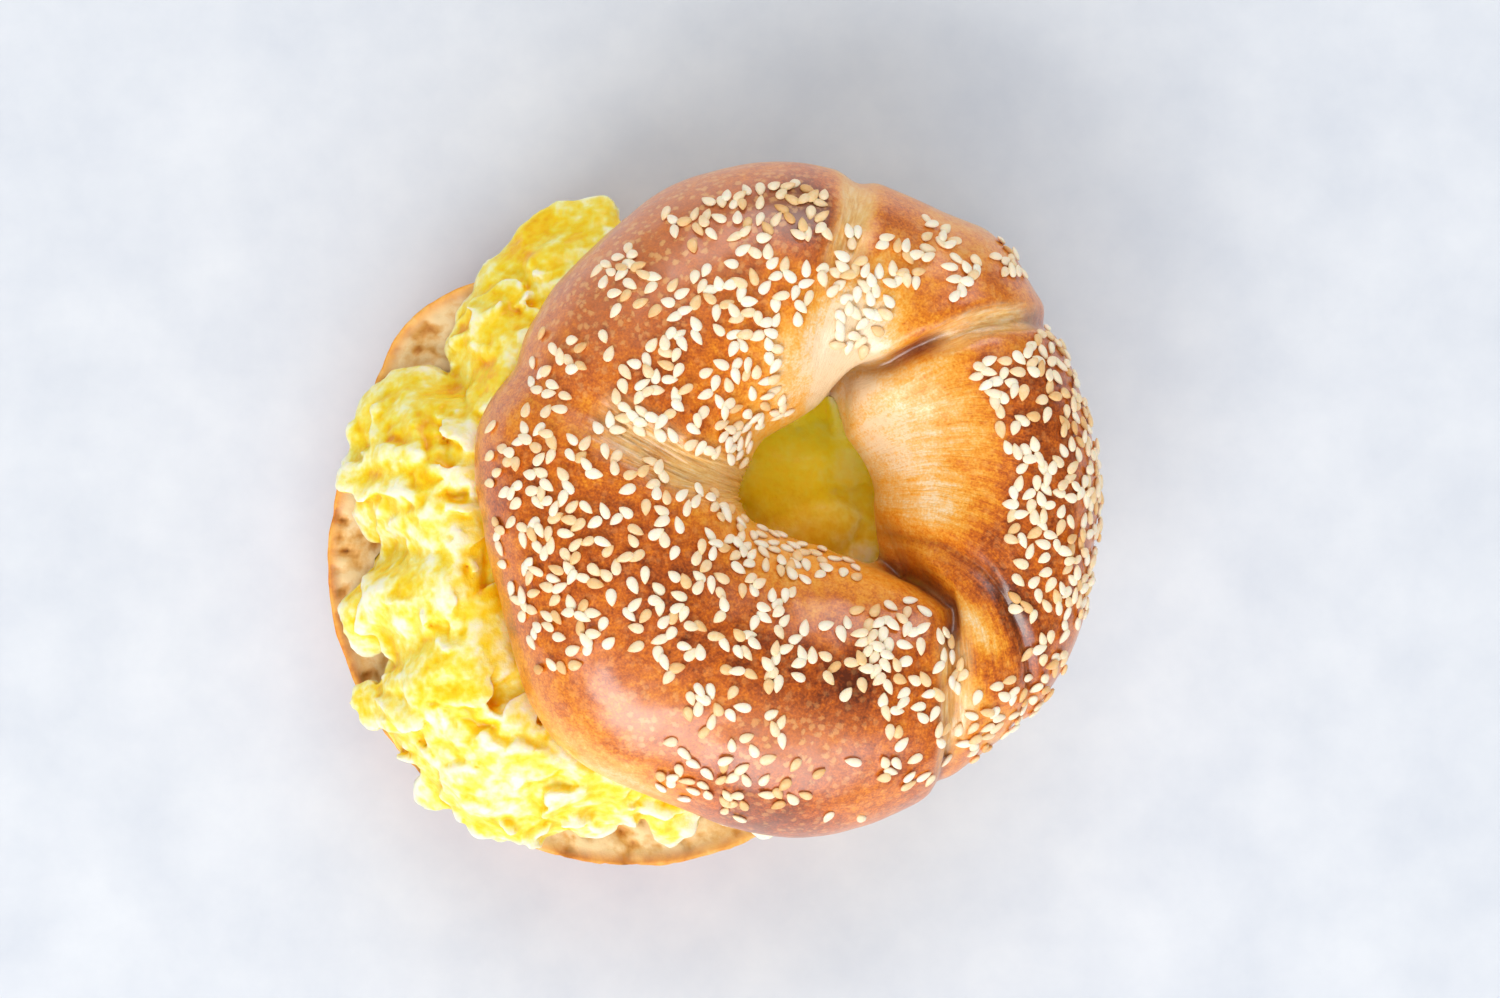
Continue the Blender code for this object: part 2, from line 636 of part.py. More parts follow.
def bottom_plug(name):
    """The space that the bottom half and its hole take up, with some air around it."""
    bpy.ops.mesh.primitive_cylinder_add(vertices=BOTTOM_SEGMENTS)
    plug = bpy.context.active_object
    plug.name = plug.data.name = name
    unit = np.array([v.co for v in plug.data.vertices])
    angle = np.degrees(np.arctan2(unit[:, 1], unit[:, 0]))
    radius = periodic(BOTTOM_STATIONS, 1, angle) + GAP
    x = BOTTOM_CENTRE[0] + radius * np.cos(np.radians(angle))
    y = BOTTOM_CENTRE[1] + radius * np.sin(np.radians(angle))
    z = np.where(unit[:, 2] > 0, BOTTOM_HEIGHT + GAP, 0)
    shape_vertices(plug, np.stack([x, y, z], -1))
    return plug


def drop_scraps(obj):
    """Keeps the largest connected piece of a mesh."""
    shape = bmesh.new()
    shape.from_mesh(obj.data)
    left, groups = set(shape.verts), []
    while left:
        stack, group = [left.pop()], []
        while stack:
            vertex = stack.pop()
            group.append(vertex)
            for edge in vertex.link_edges:
                other = edge.other_vert(vertex)
                if other in left:
                    left.remove(other)
                    stack.append(other)
        groups.append(group)
    groups.sort(key=len)
    for group in groups[:-1]:
        bmesh.ops.delete(shape, geom=group, context="VERTS")
    shape.to_mesh(obj.data)
    shape.free()


def finish(obj):
    colour, roughness = FINISHES[obj.name]
    material = bpy.data.materials.new(obj.name)
    material.use_nodes = True
    shader = material.node_tree.nodes["Principled BSDF"]
    shader.inputs["Base Color"].default_value = (*colour, 1)
    shader.inputs["Roughness"].default_value = roughness
    obj.data.materials.clear()
    obj.data.materials.append(material)
    obj.data.shade_smooth()
    obj.data.set_sharp_from_angle(angle=math.radians(50))


def main():
    clear_scene()
    bottom = bottom_ring("bagel_bottom")
    egg = egg_heap("egg")
    top = top_ring("bagel_top")
    join(top, scatter_seeds(top))
    for piece in (bottom, egg, top):
        finish(piece)
    collected("bagel_sandwich", (bottom, egg, top))


main()
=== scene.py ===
"""A sesame bagel sandwich: glossy top half with its seeds, folded egg, and the bottom half below.

Sizes are in millimetres and angles in degrees until a mesh is made, as in the solids' source,
whose forms these finer meshes follow.
"""

import math

import bmesh
import bpy
import numpy as np
from mathutils import Matrix, Vector, noise


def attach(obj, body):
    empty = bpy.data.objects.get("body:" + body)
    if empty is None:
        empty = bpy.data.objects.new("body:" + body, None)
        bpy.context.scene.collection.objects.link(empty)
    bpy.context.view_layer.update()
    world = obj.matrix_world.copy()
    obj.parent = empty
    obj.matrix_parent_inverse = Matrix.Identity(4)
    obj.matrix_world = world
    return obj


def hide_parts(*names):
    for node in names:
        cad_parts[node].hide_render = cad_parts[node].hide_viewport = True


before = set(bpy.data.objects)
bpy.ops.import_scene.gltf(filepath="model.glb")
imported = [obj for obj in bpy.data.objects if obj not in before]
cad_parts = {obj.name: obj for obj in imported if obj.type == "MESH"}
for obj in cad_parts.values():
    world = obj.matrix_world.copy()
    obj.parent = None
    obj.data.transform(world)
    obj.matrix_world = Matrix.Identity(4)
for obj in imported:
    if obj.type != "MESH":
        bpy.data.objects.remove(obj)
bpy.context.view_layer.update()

MM = 0.001
GAP = 0.35  # free air between neighbouring pieces

# The bottom half: a ring with its cut face up.
BOTTOM_CENTRE = (-13.8, -7.2)
BOTTOM_HEIGHT = 20.0
BOTTOM_CREST_SHARE = 0.5
BOTTOM_FLAT_SHARE = 0.965  # of the full depth: what lies deeper is the flat that it stands on
BOTTOM_STATIONS = (  # angle, outer radius, radius of the hole
    (0, 58.6, 11.5), (50, 58, 11), (100, 59.5, 11.8), (120, 62.2, 12),
    (129, 63.6, 12), (137, 63.1, 12), (145, 60.6, 11.9), (156, 59.2, 11.6),
    (180, 59.3, 11), (225, 58.6, 10.6), (270, 59.4, 11.2), (315, 58.4, 12),
)
RIM_HEIGHT = 0.6  # the crust stands this much proud of the shrunken crumb
RIM_WIDTH = 2.6

# The top half: a twisted ring, dome up, whose cut face tilts down to the right.
TOP_HOLE_CENTRE = (19.2, 6)
TOP_CUT_HEIGHT = 34.0  # of the cut face, at the middle of the hole
TOP_TILT = 6.5
TOP_TILT_HEADING = 5.0  # the way that the cut face runs downhill
TOP_STATIONS = (  # angle, outer radius, radius of the hole, height, crest's share of the width
    (0, 54.6, 12.2, 25, 0.58), (30, 55.4, 11.5, 25, 0.58), (41, 56.8, 11.5, 24.5, 0.56),
    (55, 59.8, 12.4, 23.5, 0.52), (64, 58.4, 14.6, 23.5, 0.50), (73, 58.5, 17.4, 24, 0.50),
    (82, 60, 16.2, 25, 0.50), (97, 61.8, 13.4, 26, 0.48), (113, 62, 12.6, 26, 0.46),
    (130, 60.6, 12.5, 26, 0.45), (146, 60.2, 12, 26, 0.44), (158, 60, 11.2, 25.6, 0.43),
    (170, 62.4, 10.8, 25.6, 0.42), (186, 60.6, 11.5, 26.4, 0.42), (202, 60.8, 11.8, 27, 0.43),
    (217, 64.4, 10.3, 27, 0.44), (228, 65.6, 9.4, 27, 0.44), (246, 63.2, 8.7, 26.6, 0.45),
    (267, 64.5, 8.9, 26.4, 0.46), (286, 61.9, 10.3, 26, 0.47), (302, 59.2, 13.7, 25, 0.48),
    (318, 59.1, 17.6, 24, 0.50), (330, 58.1, 14.8, 24, 0.54), (345, 55.4, 12.6, 24.8, 0.57),
)
OUTER_FULLNESS = 2.3  # exponent of the superellipse from the crest to the outer edge
INNER_FULLNESS = 2.2
SLOPED_LOBE = (10, 62, 1.65)  # middle, half width, fullness: the lobe that leans into the hole
SKIRT_HEIGHT = 8.0  # below this the crust turns under, towards the cut
SKIRT_TUCK = 3.2
HOLE_TUCK = 1.2

# The folds where the rope of dough overlaps itself, each a path of (share of the ring's
# width, angle). They also steer the mesh, so that its edges run along them.
FOLDS = {
    "overlap": ((0, 74.5), (0.12, 69), (0.27, 60), (0.5, 50.5), (0.78, 41.5), (1, 34.5)),
    "top_groove": ((0, 97), (0.25, 92), (0.5, 86.5), (0.75, 83), (1, 81)),
    "torn_band": ((0, 176), (0.25, 171), (0.42, 166), (0.6, 162), (0.8, 159.5), (1, 157)),
    "tuck": ((0, 319), (0.12, 320.5), (0.28, 319.5), (0.4, 313.5), (0.66, 303), (1, 293)),
    "twist": ((0, 331), (0.22, 337), (0.42, 334), (0.55, 329), (0.85, 318), (1, 311)),
}
FOLD_SHAPES = {  # depth at the hole, depth at the edge, half width, lip on the far side
    "overlap": (3.6, 1.6, 1.9, 1.3),
    "top_groove": (0.4, 1.5, 2.8, 0),
    "torn_band": (1.3, 0.8, 3.4, 0),
    "tuck": (4.2, 1, 2.2, -1.2),
    "twist": (0.6, 0.9, 1.9, 0.5),
}
LIP_REACH = 7.0
FINE_FOLDS = {  # crease, wrinkles, half width of the torn band, shares between which it is torn
    "overlap": (1.5, 0.7, 2.6, 0.40, 0.95),
    "top_groove": (0, 0.6, 3, 0.45, 0.98),
    "torn_band": (0, 0.7, 5, -0.2, 0.66),
    "tuck": (1.6, 0.5, 3.4, 0.38, 0.95),
    "twist": (0.4, 0, 1.6, 2, 2.1),
}
FOLD_FADE = 4.0  # height above the cut at which the folds have their full depth
CREASE_SHARPNESS = 0.8
CREASE_SHADE_DEPTH = 4.0  # of a fold that gets the full painted shade
CREASE_SHADE_WIDTH = 0.6  # of the painted shade, as a share of the fold's half width
CREASE_END = 0.97  # share of the width at which the sharp creases have faded
CREASE_FADE = 0.1
TEAR_FADE = 0.12  # share of the width over which a torn stretch begins and ends
STRAND_WIDTH = 0.5
STRAND_WAVES = 7.0  # across the ring's width: the torn strands are far longer than wide
# how far the painted shadow along a closed crease reaches
CREASE_SHADOW_WIDTH = 1.1
STRETCHED = (  # angle, share, half widths in angle and share of the places where the dough was pulled
    (10, 0.30, 46, 0.34), (80, 0.30, 18, 0.34),
    (170, 0.30, 14, 0.40), (322, 0.50, 20, 0.50),
)

# How fine the meshes are.
TOP_COLUMNS = 560
TOP_DOME_ROWS = 150
TOP_CUT_ROWS = 13
BOTTOM_COLUMNS = 420
BOTTOM_CRUST_ROWS = 96
BOTTOM_CUT_ROWS = 70
EGG_VOXEL = 0.64
SEED_MESH = (12, 8)  # segments and rings of the sphere that is bent into shape
EGG_CORE_MESH = (200, 60)
CURD_MESH = (48, 24)

# Sesame seeds on the top half.
SEED_LENGTH = 3.05
SEED_WIDTH = 1.8
SEED_THICKNESS = 0.95
SEED_SPACING = 2.1  # least distance between the middles of two of the seeds in the solid
SEED_CROWDING = 1.5  # and between the others, which partly lie on each other
SEEDS_IN_SOLID = 140
SEED_COUNT = 980
SEED_TRIES = 40  # places tried for each seed, at most
SEED_SIZES = (0.88, 1.1)  # least and greatest share of the seed's size
SEED_LIFTS = (0.22, 0.42)  # of a seed's middle above the crust
SEED_PILED_LIFT = 0.35
SEED_ROLL = 9  # greatest, about the seed's length
SEED_PITCH = 7
SEED_PILED_TILT = 1.8  # times the others'
SEED_RANDOM = 11
SEED_PATCHES = (  # from angle, to angle, from share, to share of the width, weight
    (-15, 38, 0.50, 0.76, 84), (-25, 35, 0.76, 0.98, 130), (-32, -12, 0.54, 0.94, 30),
    (46, 53, 0.84, 0.97, 10), (54, 60, 0.62, 0.80, 8), (61, 68, 0.72, 0.88, 6),
    (65, 71, 0.54, 0.72, 9), (70, 86, 0.20, 0.70, 48), (86, 100, 0.34, 0.56, 16),
    (88, 112, 0.64, 0.86, 42), (106, 120, 0.72, 0.89, 14), (100, 125, 0.36, 0.64, 34),
    (108, 162, 0.05, 0.38, 78), (127, 137, 0.72, 0.90, 15), (125, 150, 0.45, 0.76, 26),
    (140, 165, 0.38, 0.60, 34), (149, 166, 0.74, 0.93, 17), (168, 200, 0.60, 0.94, 64),
    (170, 200, 0.34, 0.60, 22), (180, 202, 0.08, 0.34, 10), (198, 216, 0.34, 0.92, 46),
    (212, 230, 0.38, 0.60, 14), (204, 226, 0.06, 0.34, 14), (200, 262, 0.01, 0.15, 26),
    (226, 262, 0.18, 0.50, 36), (234, 262, 0.54, 0.72, 14), (238, 264, 0.76, 0.94, 22),
    (262, 290, 0.24, 0.50, 14), (262, 286, 0.70, 0.94, 9), (285, 311, 0.22, 0.62, 60),
    (270, 300, 0.02, 0.12, 8), (285, 305, 0.64, 0.93, 14), (300, 328, 0.70, 0.98, 44),
)

# The egg: a heap on the bottom half, with folded curds fused on that reach over its rim.
EGG_STATIONS = (  # angle about the bottom half's middle, radius
    (0, 52), (45, 53), (80, 60), (97, 64), (104, 63), (111, 60),
    (121, 57), (130, 50.5), (136, 48.5), (143, 53.5), (152, 55), (160, 53),
    (170, 49.5), (177, 45), (188, 51.5), (195, 50), (202, 48), (210, 56.5),
    (218, 57.5), (228, 57), (243, 57.5), (250, 56.5), (262, 51), (275, 49),
    (285, 49), (297, 54), (307, 60.5), (318, 61), (335, 54),
)
EGG_EDGE_RISE = 4.0  # height of the heap's outermost line above the bottom half
EGG_CROWN = 0.8  # the heap would end this far above the top half's cut, which presses it flat
EGG_SHOULDER = 3.4  # how late the heap falls away towards its edge
EGG_DROOP = 0.55  # slope of what hangs out beyond the heap's edge
EGG_SAG = 1.2  # how far its underside would hang below the bottom half's cut face
EGG_HOLE_DIP = 4.5  # how far it stays below the cut in the top half's hole
EGG_HOLE_REACH = 15.0
EGG_LUMP = 2.4
EGG_LUMP_SIZE = 10.0
EGG_HOLLOW_REACH = 19.0  # within it the egg in the hole is smoothed
EGG_WANDER = (1.1, 1.1, 0.7)
EGG_WANDER_SIZE = 6.0
EGG_SHARPENING = 1.4
EGG_FIBRES = (0.45, 1, 1)  # the fine ridges are longer from east to west
CEILING_SOFTNESS = 2.0  # egg this far below the top half's cut starts to flatten
CURD_CORNERING = 0.62
CURD_FRAY = 0.17  # unevenness of a curd's outline, as a share of its size
CURD_WAVE = 1.0
CURD_BURIED = 2.4  # how far a curd's underside lies inside the heap
CURDS = (  # x, y, height over the heap, length, width, heading, curl, corners
    (-26, 54, 5.6, 29, 18, 16, 1, 4), (-38, 44, 3.2, 21, 15, 45, 1.2, 5),
    (-37.5, 37.5, 4.4, 18, 10, 78, 1, 3), (-36.5, 22, 4.6, 42, 18, 70, 1.2, 4),
    (-44.5, 32, 3.8, 19, 11, 76, 1.2, 4), (-56, 21, 4.6, 26, 21, 25, 1.4, 4),
    (-64, 14, 2.8, 12, 12, 60, 1, 5), (-60.5, 3.6, 3.4, 21, 15, 105, 1.4, 4),
    (-49.5, -5, 5.2, 33, 21, 95, 1.4, 5), (-57, -10, 4.6, 20, 10, 120, 1, 3),
    (-61, -17, 3.4, 22, 17, 25, 1.4, 4), (-42, -22, 5.2, 28, 18, 60, 1.4, 4),
    (-50, -31, 4.8, 25, 19, 120, 1.4, 5), (-56, -35, 3.2, 20, 13, 112, 1.4, 4),
    (-38, -42, 5, 26, 18, 138, 1.2, 4), (-45, -44.5, 3.2, 21, 13, 140, 1.4, 5),
    (-36, -55, 3.8, 18, 11, 85, 1, 3), (-22, -52, 4.4, 28, 16, 172, 1.4, 4),
    (-7, -54.5, 3.4, 21, 14, 120, 1.2, 3), (11, -54.5, 3.2, 22, 13, 5, 1.2, 4),
    (28, -53.5, 3, 21, 12, 12, 1, 4), (37.5, -36, 3.2, 22, 13, 55, 1.2, 4),
    (38.5, -12, 3.4, 25, 13, 80, 1.2, 5), (35, 14, 3.2, 22, 13, 100, 1.2, 4),
    (22, 34.5, 3.4, 24, 14, 140, 1.2, 4), (1, 48, 3.4, 25, 14, 165, 1.2, 5),
    (16, 9.5, 3, 24, 20, 60, 1, 5), (20, -1.5, 3.4, 22, 15, 15, 1, 4),
    (28, 14, 3.6, 22, 10, 110, 0.8, 3),
)


def periodic(stations, column, angles):
    """One column of a station table, read at any angles along a smooth closed curve."""
    known = np.array([row[0] for row in stations], float)
    values = np.array([row[column] for row in stations], float)
    known = np.concatenate([known[-2:] - 360, known, known[:2] + 360])
    values = np.concatenate([values[-2:], values, values[:2]])
    slopes = np.gradient(values, known)
    turned = np.mod(np.asarray(angles, float) - known[1], 360) + known[1]
    i = np.clip(np.searchsorted(known, turned, side="right") - 1, 0, len(known) - 2)
    step = known[i + 1] - known[i]
    t = (turned - known[i]) / step
    return (
        (2 * t**3 - 3 * t**2 + 1) * values[i]
        + (t**3 - 2 * t**2 + t) * step * slopes[i]
        + (3 * t**2 - 2 * t**3) * values[i + 1]
        + (t**3 - t**2) * step * slopes[i + 1]
    )


def turned_apart(angle, other):
    """The signed difference of two angles, from -180 to 180."""
    return np.mod(angle - other + 180, 360) - 180


def polar(x, y, centre=(0.0, 0.0)):
    """Distance from a centre, and the angle about it in radians."""
    dx, dy = x - centre[0], y - centre[1]
    return np.hypot(dx, dy), np.arctan2(dy, dx)


def cylindrical(radius, turn, height):
    """Points at a radius, an angle in radians and a height."""
    return np.stack(np.broadcast_arrays(radius * np.cos(turn), radius * np.sin(turn), height), -1)


def fold_angle(name, share):
    path = np.array(FOLDS[name])
    return np.interp(share, path[:, 0], path[:, 1])


def steered(angle, share):
    """The angle of a mesh line that runs along the folds as it crosses the ring."""
    names = list(FOLDS)
    rest = np.array([fold_angle(name, 0.5) for name in names])
    rest = np.concatenate([[rest[-1] - 360], rest, [rest[0] + 360]])
    here = np.array([fold_angle(name, share) for name in names])
    here = np.concatenate([here[-1:] - 360, here, here[:1] + 360])
    turned = np.mod(angle - rest[0], 360) + rest[0]
    return np.array([np.interp(t, rest, row) for t, row in zip(turned, here.T)])


def across_fold(name, angle, share, radius):
    """How far beyond the bottom of a fold a place lies, in millimetres."""
    return np.radians(turned_apart(angle, fold_angle(name, share))) * radius


def fold_relief(angle, share, radius):
    """How far the folds raise or sink the dome, in millimetres along its normal."""
    relief = np.zeros_like(radius)
    for name, (at_hole, at_edge, half_width, lip) in FOLD_SHAPES.items():
        across = across_fold(name, angle, share, radius)
        depth = at_hole + (at_edge - at_hole) * share
        relief -= depth * np.exp(-((across / half_width) ** 2))
        beyond = np.tanh(across / half_width) * np.exp(-np.abs(across) / LIP_REACH)
        relief += lip * beyond * (1 - 0.5 * share)
    return relief


def section_power(angle, outside):
    """The power of the superellipse's sine and cosine, outside the crest and inside it."""
    middle, half_width, sloped = SLOPED_LOBE
    lean = np.exp(-((turned_apart(angle, middle) / half_width) ** 4))
    inner_fullness = INNER_FULLNESS + (sloped - INNER_FULLNESS) * lean
    return 2 / np.where(outside, OUTER_FULLNESS, inner_fullness)


def dome_section(angle, section_angle):
    """Radius and height of the top half's dome, before its folds.

    section_angle runs from 0 at the outer edge of the cut, over the crest at 90, to 180 at
    the hole. The share of the width is returned too: 0 at the hole and 1 outside.
    """
    outer = periodic(TOP_STATIONS, 1, angle)
    inner = periodic(TOP_STATIONS, 2, angle)
    height = periodic(TOP_STATIONS, 3, angle)
    crest = periodic(TOP_STATIONS, 4, angle)
    outside = section_angle <= 90
    power = section_power(angle, outside)
    cosine = np.abs(np.cos(np.radians(section_angle))) ** power
    share = np.where(outside, crest + (1 - crest) * cosine, crest * (1 - cosine))
    rise = height * np.sin(np.radians(np.clip(section_angle, 0, 180))) ** power
    radius = inner + (outer - inner) * share
    low = np.clip(1 - rise / SKIRT_HEIGHT, 0, 1) ** 2
    radius += np.where(outside, -SKIRT_TUCK, HOLE_TUCK) * low
    return radius, rise, share


def section_angle_at(angle, share):
    """The section angle at which the dome reaches a share of the ring's width."""
    crest = periodic(TOP_STATIONS, 4, angle)
    outside = share >= crest
    power = section_power(angle, outside)
    along = np.where(outside, (share - crest) / (1 - crest), (crest - share) / crest)
    swing = np.degrees(np.arccos(np.clip(along, 0, 1) ** (1 / power)))
    return np.where(outside, swing, 180 - swing)


def dome_points(angle, section_angle):
    """Points of the folded dome, in the top half's own frame."""
    step = 0.4
    radius, rise, share = dome_section(angle, section_angle)
    ahead = dome_section(angle, np.minimum(section_angle + step, 180))
    behind = dome_section(angle, np.maximum(section_angle - step, 0))
    along_r, along_z = ahead[0] - behind[0], ahead[1] - behind[1]
    length = np.hypot(along_r, along_z) + 1e-9
    normal_r, normal_z = along_z / length, -along_r / length
    push = fold_relief(angle, share, radius) * np.clip(rise / FOLD_FADE, 0, 1)
    return cylindrical(radius + normal_r * push, np.radians(angle), rise + normal_z * push)


def top_frame():
    """Where the top half sits: on the egg, tilted, with its own origin in the hole."""
    place = Matrix.Translation(Vector((*TOP_HOLE_CENTRE, TOP_CUT_HEIGHT)) * MM)
    heading = Matrix.Rotation(math.radians(TOP_TILT_HEADING), 4, "Z")
    tilt = Matrix.Rotation(math.radians(TOP_TILT), 4, "Y")
    return place @ heading @ tilt @ heading.inverted()


def seed_places(count):
    """The seeds' angles, section angles and headings, and whether each lies on others."""
    draw = np.random.default_rng(SEED_RANDOM)
    patches = np.array(SEED_PATCHES, float)
    weights = patches[:, 4] / patches[:, 4].sum()
    places, middles = [], []
    for _ in range(count * SEED_TRIES):
        low, high, near, far, _ = patches[draw.choice(len(patches), p=weights)]
        angle, share = draw.uniform(low, high), draw.uniform(near, far)
        heading = draw.uniform(0, 360)
        section = section_angle_at(np.array([angle]), np.array([share]))
        middle = dome_points(np.array([angle]), section)[0]
        spacing = SEED_SPACING if len(places) < SEEDS_IN_SOLID else SEED_CROWDING
        nearest = min((np.linalg.norm(middle - other) for other in middles), default=math.inf)
        if nearest > spacing:
            places.append((angle, float(section[0]), heading, nearest < SEED_SPACING))
            middles.append(middle)
        if len(places) == count:
            break
    return places


def surface_frame(angle, section):
    """A frame on the dome, its Z along the outward normal."""
    step = 0.5
    angles = angle + step * np.array([0, 1, -1, 0, 0])
    sections = section + step * np.array([0, 0, 0, 1, -1])
    middle, east, west, over, under = dome_points(angles, sections)
    along, up = Vector(east - west).normalized(), Vector(under - over)
    normal = along.cross(up).normalized()
    if normal.z < 0 and section > 20:
        normal = -normal
    side = normal.cross(along)
    axes = Matrix((along, side, normal)).transposed().to_4x4()
    return Matrix.Translation(Vector(middle) * MM) @ axes


def cut_height(x, y):
    """Height of the top half's cut face above a point."""
    downhill = math.radians(TOP_TILT_HEADING)
    dx, dy = x - TOP_HOLE_CENTRE[0], y - TOP_HOLE_CENTRE[1]
    along = dx * math.cos(downhill) + dy * math.sin(downhill)
    return TOP_CUT_HEIGHT - along * math.tan(math.radians(TOP_TILT))


def heap_height(x, y):
    """Height of the heap's upper side above a point, also a little way beyond its edge."""
    from_middle, turn = polar(x, y, BOTTOM_CENTRE)
    edge_at = periodic(EGG_STATIONS, 1, np.degrees(turn))
    share = np.minimum(from_middle / edge_at, 1)
    from_hole, _ = polar(x, y, TOP_HOLE_CENTRE)
    dip = EGG_HOLE_DIP * np.exp(-((from_hole / EGG_HOLE_REACH) ** 6))
    edge = BOTTOM_HEIGHT + EGG_EDGE_RISE
    crown = cut_height(x, y) + EGG_CROWN - dip
    lumps = noise_at(np.stack([x, y, np.full_like(x, 3.7)], -1), EGG_LUMP_SIZE)
    height = edge + (crown - edge) * (1 - share**EGG_SHOULDER) + EGG_LUMP * lumps * share
    return height - EGG_DROOP * np.maximum(from_middle - edge_at, 0)


def laid_on_heap(unit, row, spread, turn, raised):
    """A curd's or a sheet's points on the heap, with its underside buried and the rest raised."""
    x, y, _, length, width, heading = row[:6]
    along = spread * np.cos(turn) * length / 2
    across = spread * np.sin(turn) * width / 2
    cosine, sine = math.cos(math.radians(heading)), math.sin(math.radians(heading))
    px = x + along * cosine - across * sine
    py = y + along * sine + across * cosine
    pz = heap_height(px, py) + np.where(unit[:, 2] < -0.1, -CURD_BURIED, raised)
    return np.stack([px, py, pz], -1)


def curd_shape(unit, row):
    """Where points of a unit sphere go to make one curd: a frayed sheet that lies on the heap."""
    x, y, lift, _, _, _, curl, corners = row
    reach, turn = polar(unit[:, 0], unit[:, 1])
    side = 2 * math.pi / corners
    cornered = math.cos(side / 2) / np.cos(np.mod(turn, side) - side / 2)
    outline = 1 + (cornered - 1) * CURD_CORNERING
    outline += CURD_FRAY * (np.sin(3 * turn + x) + np.sin(5 * turn + y)) / 2
    spread = reach**0.7 * outline
    ruffle = CURD_WAVE * np.sin(2 * turn + x) * spread**2 - curl * spread**2
    return laid_on_heap(unit, row, spread, turn, lift * (0.45 + 0.55 * unit[:, 2]) + ruffle)


# How far the crust is baked: 0 is cream, 1 nearly black. The base runs across the ring's width.
BASE_BAKE = ((0, 0.30), (0.12, 0.42), (0.25, 0.58), (0.45, 0.66), (0.8, 0.63), (1, 0.50))
BAKE_PATCHES = (  # angle, share, half widths in angle and share, change of the bake, painted sheen
    (33, 0.20, 34, 0.22, -0.46, 0), (-8, 0.24, 14, 0.16, -0.30, 0),
    (20, 0.44, 26, 0.09, -0.20, 0), (12, 0.78, 34, 0.26, 0.12, 0),
    (47, 0.50, 7, 0.12, -0.22, 0), (80, 0.24, 17, 0.25, -0.84, 0),
    (70, 0.55, 8, 0.16, -0.28, 0), (60, 0.85, 10, 0.18, -0.22, 0.4),
    (83, 0.78, 4.5, 0.22, -0.46, 0), (95, 0.76, 8, 0.13, 0.46, 0.3),
    (122, 0.82, 32, 0.28, 0.05, 1), (112, 0.50, 16, 0.14, -0.10, 0.2),
    (138, 0.08, 30, 0.12, -0.14, 0), (170, 0.22, 9, 0.22, -0.26, 0),
    (162, 0.62, 6, 0.20, -0.14, 0), (190, 0.96, 22, 0.12, 0.08, 0),
    # (236, 1.00): the pale rim over the egg is partly crust less baked near the cut, partly painted
    # light thrown back from the egg
    (190, 0.60, 16, 0.20, 0.06, 0), (236, 1.00, 14, 0.11, -0.36, 0),
    (222, 0.36, 19, 0.18, 0.14, 0), (238, 0.06, 30, 0.08, -0.06, 0.15),
    (262, 0.42, 20, 0.14, 0.14, 0), (282, 0.45, 10, 0.12, 0.24, 0),
    (262, 0.68, 17, 0.13, 0.04, 0.9), (238, 0.74, 13, 0.12, 0.00, 0.7),
    (319, 0.46, 4.6, 0.19, -0.42, 0), (306, 0.64, 3.4, 0.16, -0.36, 0),
    (305, 0.88, 8, 0.14, -0.10, 0.2), (335, 0.48, 7, 0.20, 0.08, 0),
    (347, 0.42, 8, 0.14, 0.10, 0), (330, 0.56, 5, 0.13, 0.24, 0),
    (38, 0.73, 7, 0.12, -0.16, 0), (106, 0.22, 13, 0.15, -0.30, 0),
    (258, 0.90, 14, 0.12, 0.20, 0.3), (325, 0.66, 7, 0.14, 0.16, 0),
    (268, 0.98, 26, 0.09, 0.16, 0.4),
)
BAKE_FALLOFF = 1.3

# Torn sheets and scraps of egg over the crescent that the top half leaves bare.
SHEET_RANDOM = 5
CRESCENT = (74, 300)
SHEET_KINDS = (  # how many, then ranges: length, width as a share of it, lift, slope
    (95, (8, 20), (0.35, 0.75), (2.6, 5.4), (0.8, 2.4)),
    (120, (3.5, 9), (0.25, 0.55), (3, 5.2), (0.8, 1.8)),
)
SHEET_REACHES = (0.60, 1)  # of a sheet's middle, as shares of the heap's radius
SHEET_OVERHANG = 4.6
SHEET_HEADINGS = 40  # spread of their headings about the heap's edge
SHEET_FRAY = ((2, 0.16), (3, 0.15), (5, 0.10), (9, 0.05))  # waves about the outline, size

# The bottom half's skin and crumb.
PORES = ((2.3, 4, 0.02, 1), (1.2, 5, 0.1, 0.5))  # size, noise seed, threshold, amount
PORE_DEPTH = 2.2
FOOT_HEIGHT = 2.0  # relief fades out below this, towards the flat that it stands on
# depth of a pore or dent at which its painted shade is full
PIT_SHADE_FULLY = 2.6
LOW_FULLY = 9.0

FLOW_RADIUS = 36.0  # the crust's streaks are noise on a cylinder of this radius

# The studio, in metres.
LIGHT_AIM = (0, 0, 0.03)
LIGHT_DISTANCE = 2.0
LIGHTS = (  # name, direction, width and height, watts, colour, whether glossy surfaces mirror it
    ("window", (-0.44, -0.70, 0.62), (1.1, 0.9), 19.5, (1, 0.985, 0.96), True),
    ("far_window", (0.14, -0.80, 0.70), (1.3, 0.8), 10.5, (0.92, 0.94, 1), True),
    ("low_window", (0.10, -0.92, 0.38), (1.8, 0.6), 7, (0.92, 0.94, 1), True),
    ("back_fill", (0.15, 0.90, 0.75), (1.6, 1.2), 15, (0.95, 0.97, 1), True),
    ("above", (0, -0.2, 1), (0.8, 0.8), 4.8, (1, 1, 1), False),
)
SKY_COLOUR = (0.93, 0.96, 1, 1)
SKY_AT_HORIZON = 0.72
SKY_FALL = 0.42  # how much weaker the sky is overhead than at the horizon
FLOOR_SIZE = 4
CAMERA_PLACE = (0.0091, 0.0047, 0.425)
CAMERA_LENS = 50
CAMERA_SENSOR = 36


# Meshes made from arrays


